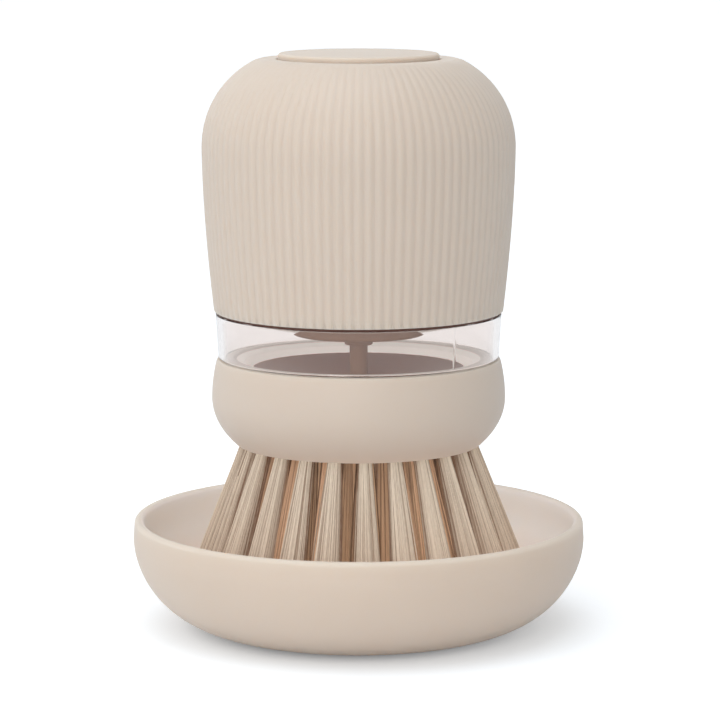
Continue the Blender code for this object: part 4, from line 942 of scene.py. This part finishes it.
# The seal fills the seam out to the band's outer face, so its dark rubber is partly the seal and partly
# painted shade, the seam's shadow line.
turned_piece("seam_seal", [
    (28.62, 65.13, 0.12), (28.62, 64.72, 0.12), (26.6, 64.72, 0.12), (26.6, 65.13), (27.2, 65.13),
    (27.2, 66.1, 0.15), (28.3, 66.1, 0.15), (28.3, 65.13),
], RUBBER, "handle", "band_seal", 256, 0.5)


# Dome and what works inside it

piece("fluted_dome", dome_grid(), BEIGE, "handle", "dome_shell", 60)

turned_piece("plunger_cup", [
    (WELL_HEAD_RADIUS, WELL_TOP_Z, 0.2), (WELL_HEAD_RADIUS, 111.22), (18.75, 111.22, 0.2),
    (18.75, 109.72, 0.2), (WELL_HEAD_RADIUS, 109.72), (WELL_HEAD_RADIUS, WELL_HEAD_END_Z, 0.3),
    (19.3, 103.8, 0.8), (14.0, WELL_BOTTOM_Z, 1.6), (3.15, WELL_BOTTOM_Z, 0.2), (3.15, 64.6),
    (ROD_HOLE, 64.6), (ROD_HOLE, 75.4, 0.2), (4.0, 75.4, 0.4), (4.9, 66.2), (4.9, WELL_FLOOR_Z, 0.5),
    (12.4, WELL_FLOOR_Z, 1.0), (17.7, 103.8, 0.8), (17.7, WELL_TOP_Z, 0.3),
], INNER, "handle", "plunger_well", 160)

turned_piece("cup_seal", [
    (19.0, 110.92, 0.4), (WELL_HEAD_RADIUS, 110.92, 0.4), (WELL_HEAD_RADIUS, 110.02, 0.4),
    (19.0, 110.02, 0.4),
], RUBBER, "handle", "well_seal", 128, 0.5)

turned_piece("rod_lip_seal", [
    (2.85, 64.3, 0.15), (2.85, 62.9, 0.15), (2.45, 62.9, 0.1), (1.9, 63.3, 0.1), (ROD_HOLE, 64.3, 0.15),
], RUBBER, "handle", "rod_seal", 64, 0.4)

turned_piece("rod_bush", [
    (2.85, 62.6, 0.2), (2.85, 58.5, 0.25), (ROD_HOLE, 58.5, 0.15), (ROD_HOLE, 62.6, 0.15),
], INNER, "handle", "seal_retainer", 64, 0.6)

spring = piece("coil_spring", [(coil(), False)], STEEL, "handle", "return_spring", 60)
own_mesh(spring)

crown = np.linspace(0, 0.955, 14)[:, None] * BUTTON_RADIUS
crown = np.hstack([crown, BUTTON_EDGE_Z + BUTTON_CROWN * (1 - (crown / BUTTON_RADIUS) ** 2)])
button_side = rounded([
    (BUTTON_RADIUS - 1.2, BUTTON_EDGE_Z + 0.05), (BUTTON_RADIUS, BUTTON_EDGE_Z, 0.5), (BUTTON_RADIUS, 113.47),
    (17.3, 113.47, 0.2), (17.3, 111.87, 0.2), (BUTTON_RADIUS, 111.87), (BUTTON_RADIUS, 106.07, 0.3),
    (14.6, 106.07, 0.3), (14.6, BUTTON_UNDERSIDE_Z, 0.6), (4.0, BUTTON_UNDERSIDE_Z, 0.5), (4.0, 102.97, 0.3),
    (ROD_HOLE, 102.97, 0.2), (ROD_HOLE, BUTTON_UNDERSIDE_Z - 0.05), (0, BUTTON_UNDERSIDE_Z - 0.05),
])[1:]
button = turned(refined(np.vstack([crown, button_side]), 1.5), 192)
piece("press_button", [(button, False)], BEIGE, "button", "button_cap")

turned_piece("valve_rod", [
    (0, ROD_TOP_Z), (ROD_RADIUS, ROD_TOP_Z, 0.3), (ROD_RADIUS, 52.3, 0.1), (1.0, 52.3), (1.0, 46.3, 0.2),
    (0, 46.3),
], INNER, "button", "push_rod", 64, 2.0)

turned_piece("outlet_plug", [
    (0, 46.05), (1.25, 46.05), (1.25, 52.0, 0.15), (2.55, 52.0, 0.25), (2.55, 50.6, 0.2), (1.9, 50.6),
    (1.9, 44.5, 0.3), (2.9, 44.5, 0.25), (2.9, 43.1), (2.0, 43.1), (2.0, 41.9), (2.9, 41.9), (2.9, 40.5, 0.4),
    (0, 40.5),
], INNER, "button", "valve_plug", 64, 0.8)

turned_piece("plug_ring", [
    (2.3, 42.8, 0.28), (2.9, 42.8, 0.28), (2.9, 42.2, 0.28), (2.3, 42.2, 0.28),
], RUBBER, "button", "valve_ring", 64, 0.3)


# Floor, light and camera


def seen_directly(tree):
    """One for a ray from the camera and one for a ray off gloss or through clear plastic, as two sockets."""
    path = add(tree, "ShaderNodeLightPath").outputs
    gloss_or_clear = arithmetic(tree, "MAXIMUM", path["Is Glossy Ray"], path["Is Transmission Ray"])
    return path["Is Camera Ray"], gloss_or_clear


def floor():
    """Wide pale floor. It keeps the tray's soft shadow, and past that a glow takes it to white: its
    strength goes evenly from stop to stop with the distance from the tray's middle. The eye sees the
    glow whole, gloss and clear plastic see a share of it, and it lights nothing."""
    mesh = bpy.data.meshes.new("studio_floor")
    corners = [(x * FLOOR_HALF, y * FLOOR_HALF, 0) for x, y in ((-1, -1), (1, -1), (1, 1), (-1, 1))]
    mesh.from_pydata(corners, [], [(0, 1, 2, 3)])
    material = bpy.data.materials.new("studio_floor")
    material.use_nodes = True
    tree = material.node_tree
    tree.nodes.remove(tree.nodes["Principled BSDF"])
    place = add(tree, "ShaderNodeTexCoord").outputs["Object"]
    paper = add(tree, "ShaderNodeBsdfDiffuse")
    clouds = noise(tree, place, 8.0, 2.0)
    grey = blend_colours(tree, clouds, display((232, 235, 238)), display((236, 239, 242)))
    tree.links.new(grey, paper.inputs["Color"])
    away = add(tree, "ShaderNodeVectorMath", operation="DISTANCE")
    away.inputs[1].default_value = GLOW_MIDDLE
    tree.links.new(place, away.inputs[0])
    ramp = add(tree, "ShaderNodeValToRGB")
    way_out = arithmetic(tree, "MULTIPLY", away.outputs["Value"], 1 / (GLOW_REACH * MM))
    tree.links.new(way_out, ramp.inputs["Fac"])
    stops = ramp.color_ramp.elements
    for _ in FLOOR_GLOW[2:]:
        stops.new(1.0)
    for stop, (distance, strength) in zip(stops, FLOOR_GLOW):
        stop.position, stop.color = distance / GLOW_REACH, (strength, strength, strength, 1.0)
    camera_ray, other_ray = seen_directly(tree)
    share = arithmetic(tree, "ADD", camera_ray, arithmetic(tree, "MULTIPLY", other_ray, GLOW_FOR_OTHERS))
    glow = add(tree, "ShaderNodeEmission")
    glow.inputs["Color"].default_value = GLOW_COLOUR
    tree.links.new(arithmetic(tree, "MULTIPLY", share, ramp.outputs["Color"]), glow.inputs["Strength"])
    both = add(tree, "ShaderNodeAddShader")
    tree.links.new(paper.outputs[0], both.inputs[0])
    tree.links.new(glow.outputs[0], both.inputs[1])
    tree.links.new(both.outputs[0], tree.nodes["Material Output"].inputs["Surface"])
    mesh.materials.append(material)
    new_object("studio_floor", mesh)


def surroundings(level, swing, bright_side):
    """White world to the camera, to gloss and through clear plastic. Its light is the level times one and
    the swing's share of how far a direction points to the bright side."""
    world = bpy.data.worlds.new("studio")
    bpy.context.scene.world = world
    world.use_nodes = True
    tree = world.node_tree
    toward = add(tree, "ShaderNodeVectorMath", operation="DOT_PRODUCT")
    toward.inputs[1].default_value = Vector(bright_side).normalized()
    tree.links.new(add(tree, "ShaderNodeTexCoord").outputs["Generated"], toward.inputs[0])
    swung = arithmetic(tree, "MULTIPLY", toward.outputs["Value"], level * swing)
    light = arithmetic(tree, "ADD", swung, level)
    seen = arithmetic(tree, "MAXIMUM", *seen_directly(tree))
    unseen = arithmetic(tree, "MULTIPLY", light, arithmetic(tree, "SUBTRACT", 1.0, seen))
    backdrop = tree.nodes["Background"]
    backdrop.inputs["Color"].default_value = (1, 1, 1, 1)
    tree.links.new(arithmetic(tree, "ADD", unseen, seen), backdrop.inputs["Strength"])


def soft_box(name, place, size, power, colour):
    """Square lamp at a place, turned to face the object's middle."""
    lamp = bpy.data.lights.new(name, "AREA")
    lamp.shape = "SQUARE"
    lamp.size = size
    lamp.energy = power
    lamp.color = colour
    thing = new_object(name, lamp)
    thing.location = place
    thing.rotation_euler = (Vector(LAMP_AIM) - Vector(place)).to_track_quat("-Z", "Y").to_euler()


floor()
surroundings(level=0.5, swing=0.78, bright_side=(-0.78, 0.0, 0.63))
for lamp in LAMPS:
    soft_box(*lamp)

camera = new_object("camera", bpy.data.cameras.new("camera"))
camera.data.lens = CAMERA_LENS
camera.data.sensor_width = CAMERA_SENSOR
camera.data.clip_start = 0.05
camera.location = CAMERA_PLACE
camera.rotation_euler = (math.pi / 2 - CAMERA_DIP, 0, 0)
bpy.context.scene.camera = camera
bpy.context.scene.view_settings.view_transform = "Standard"
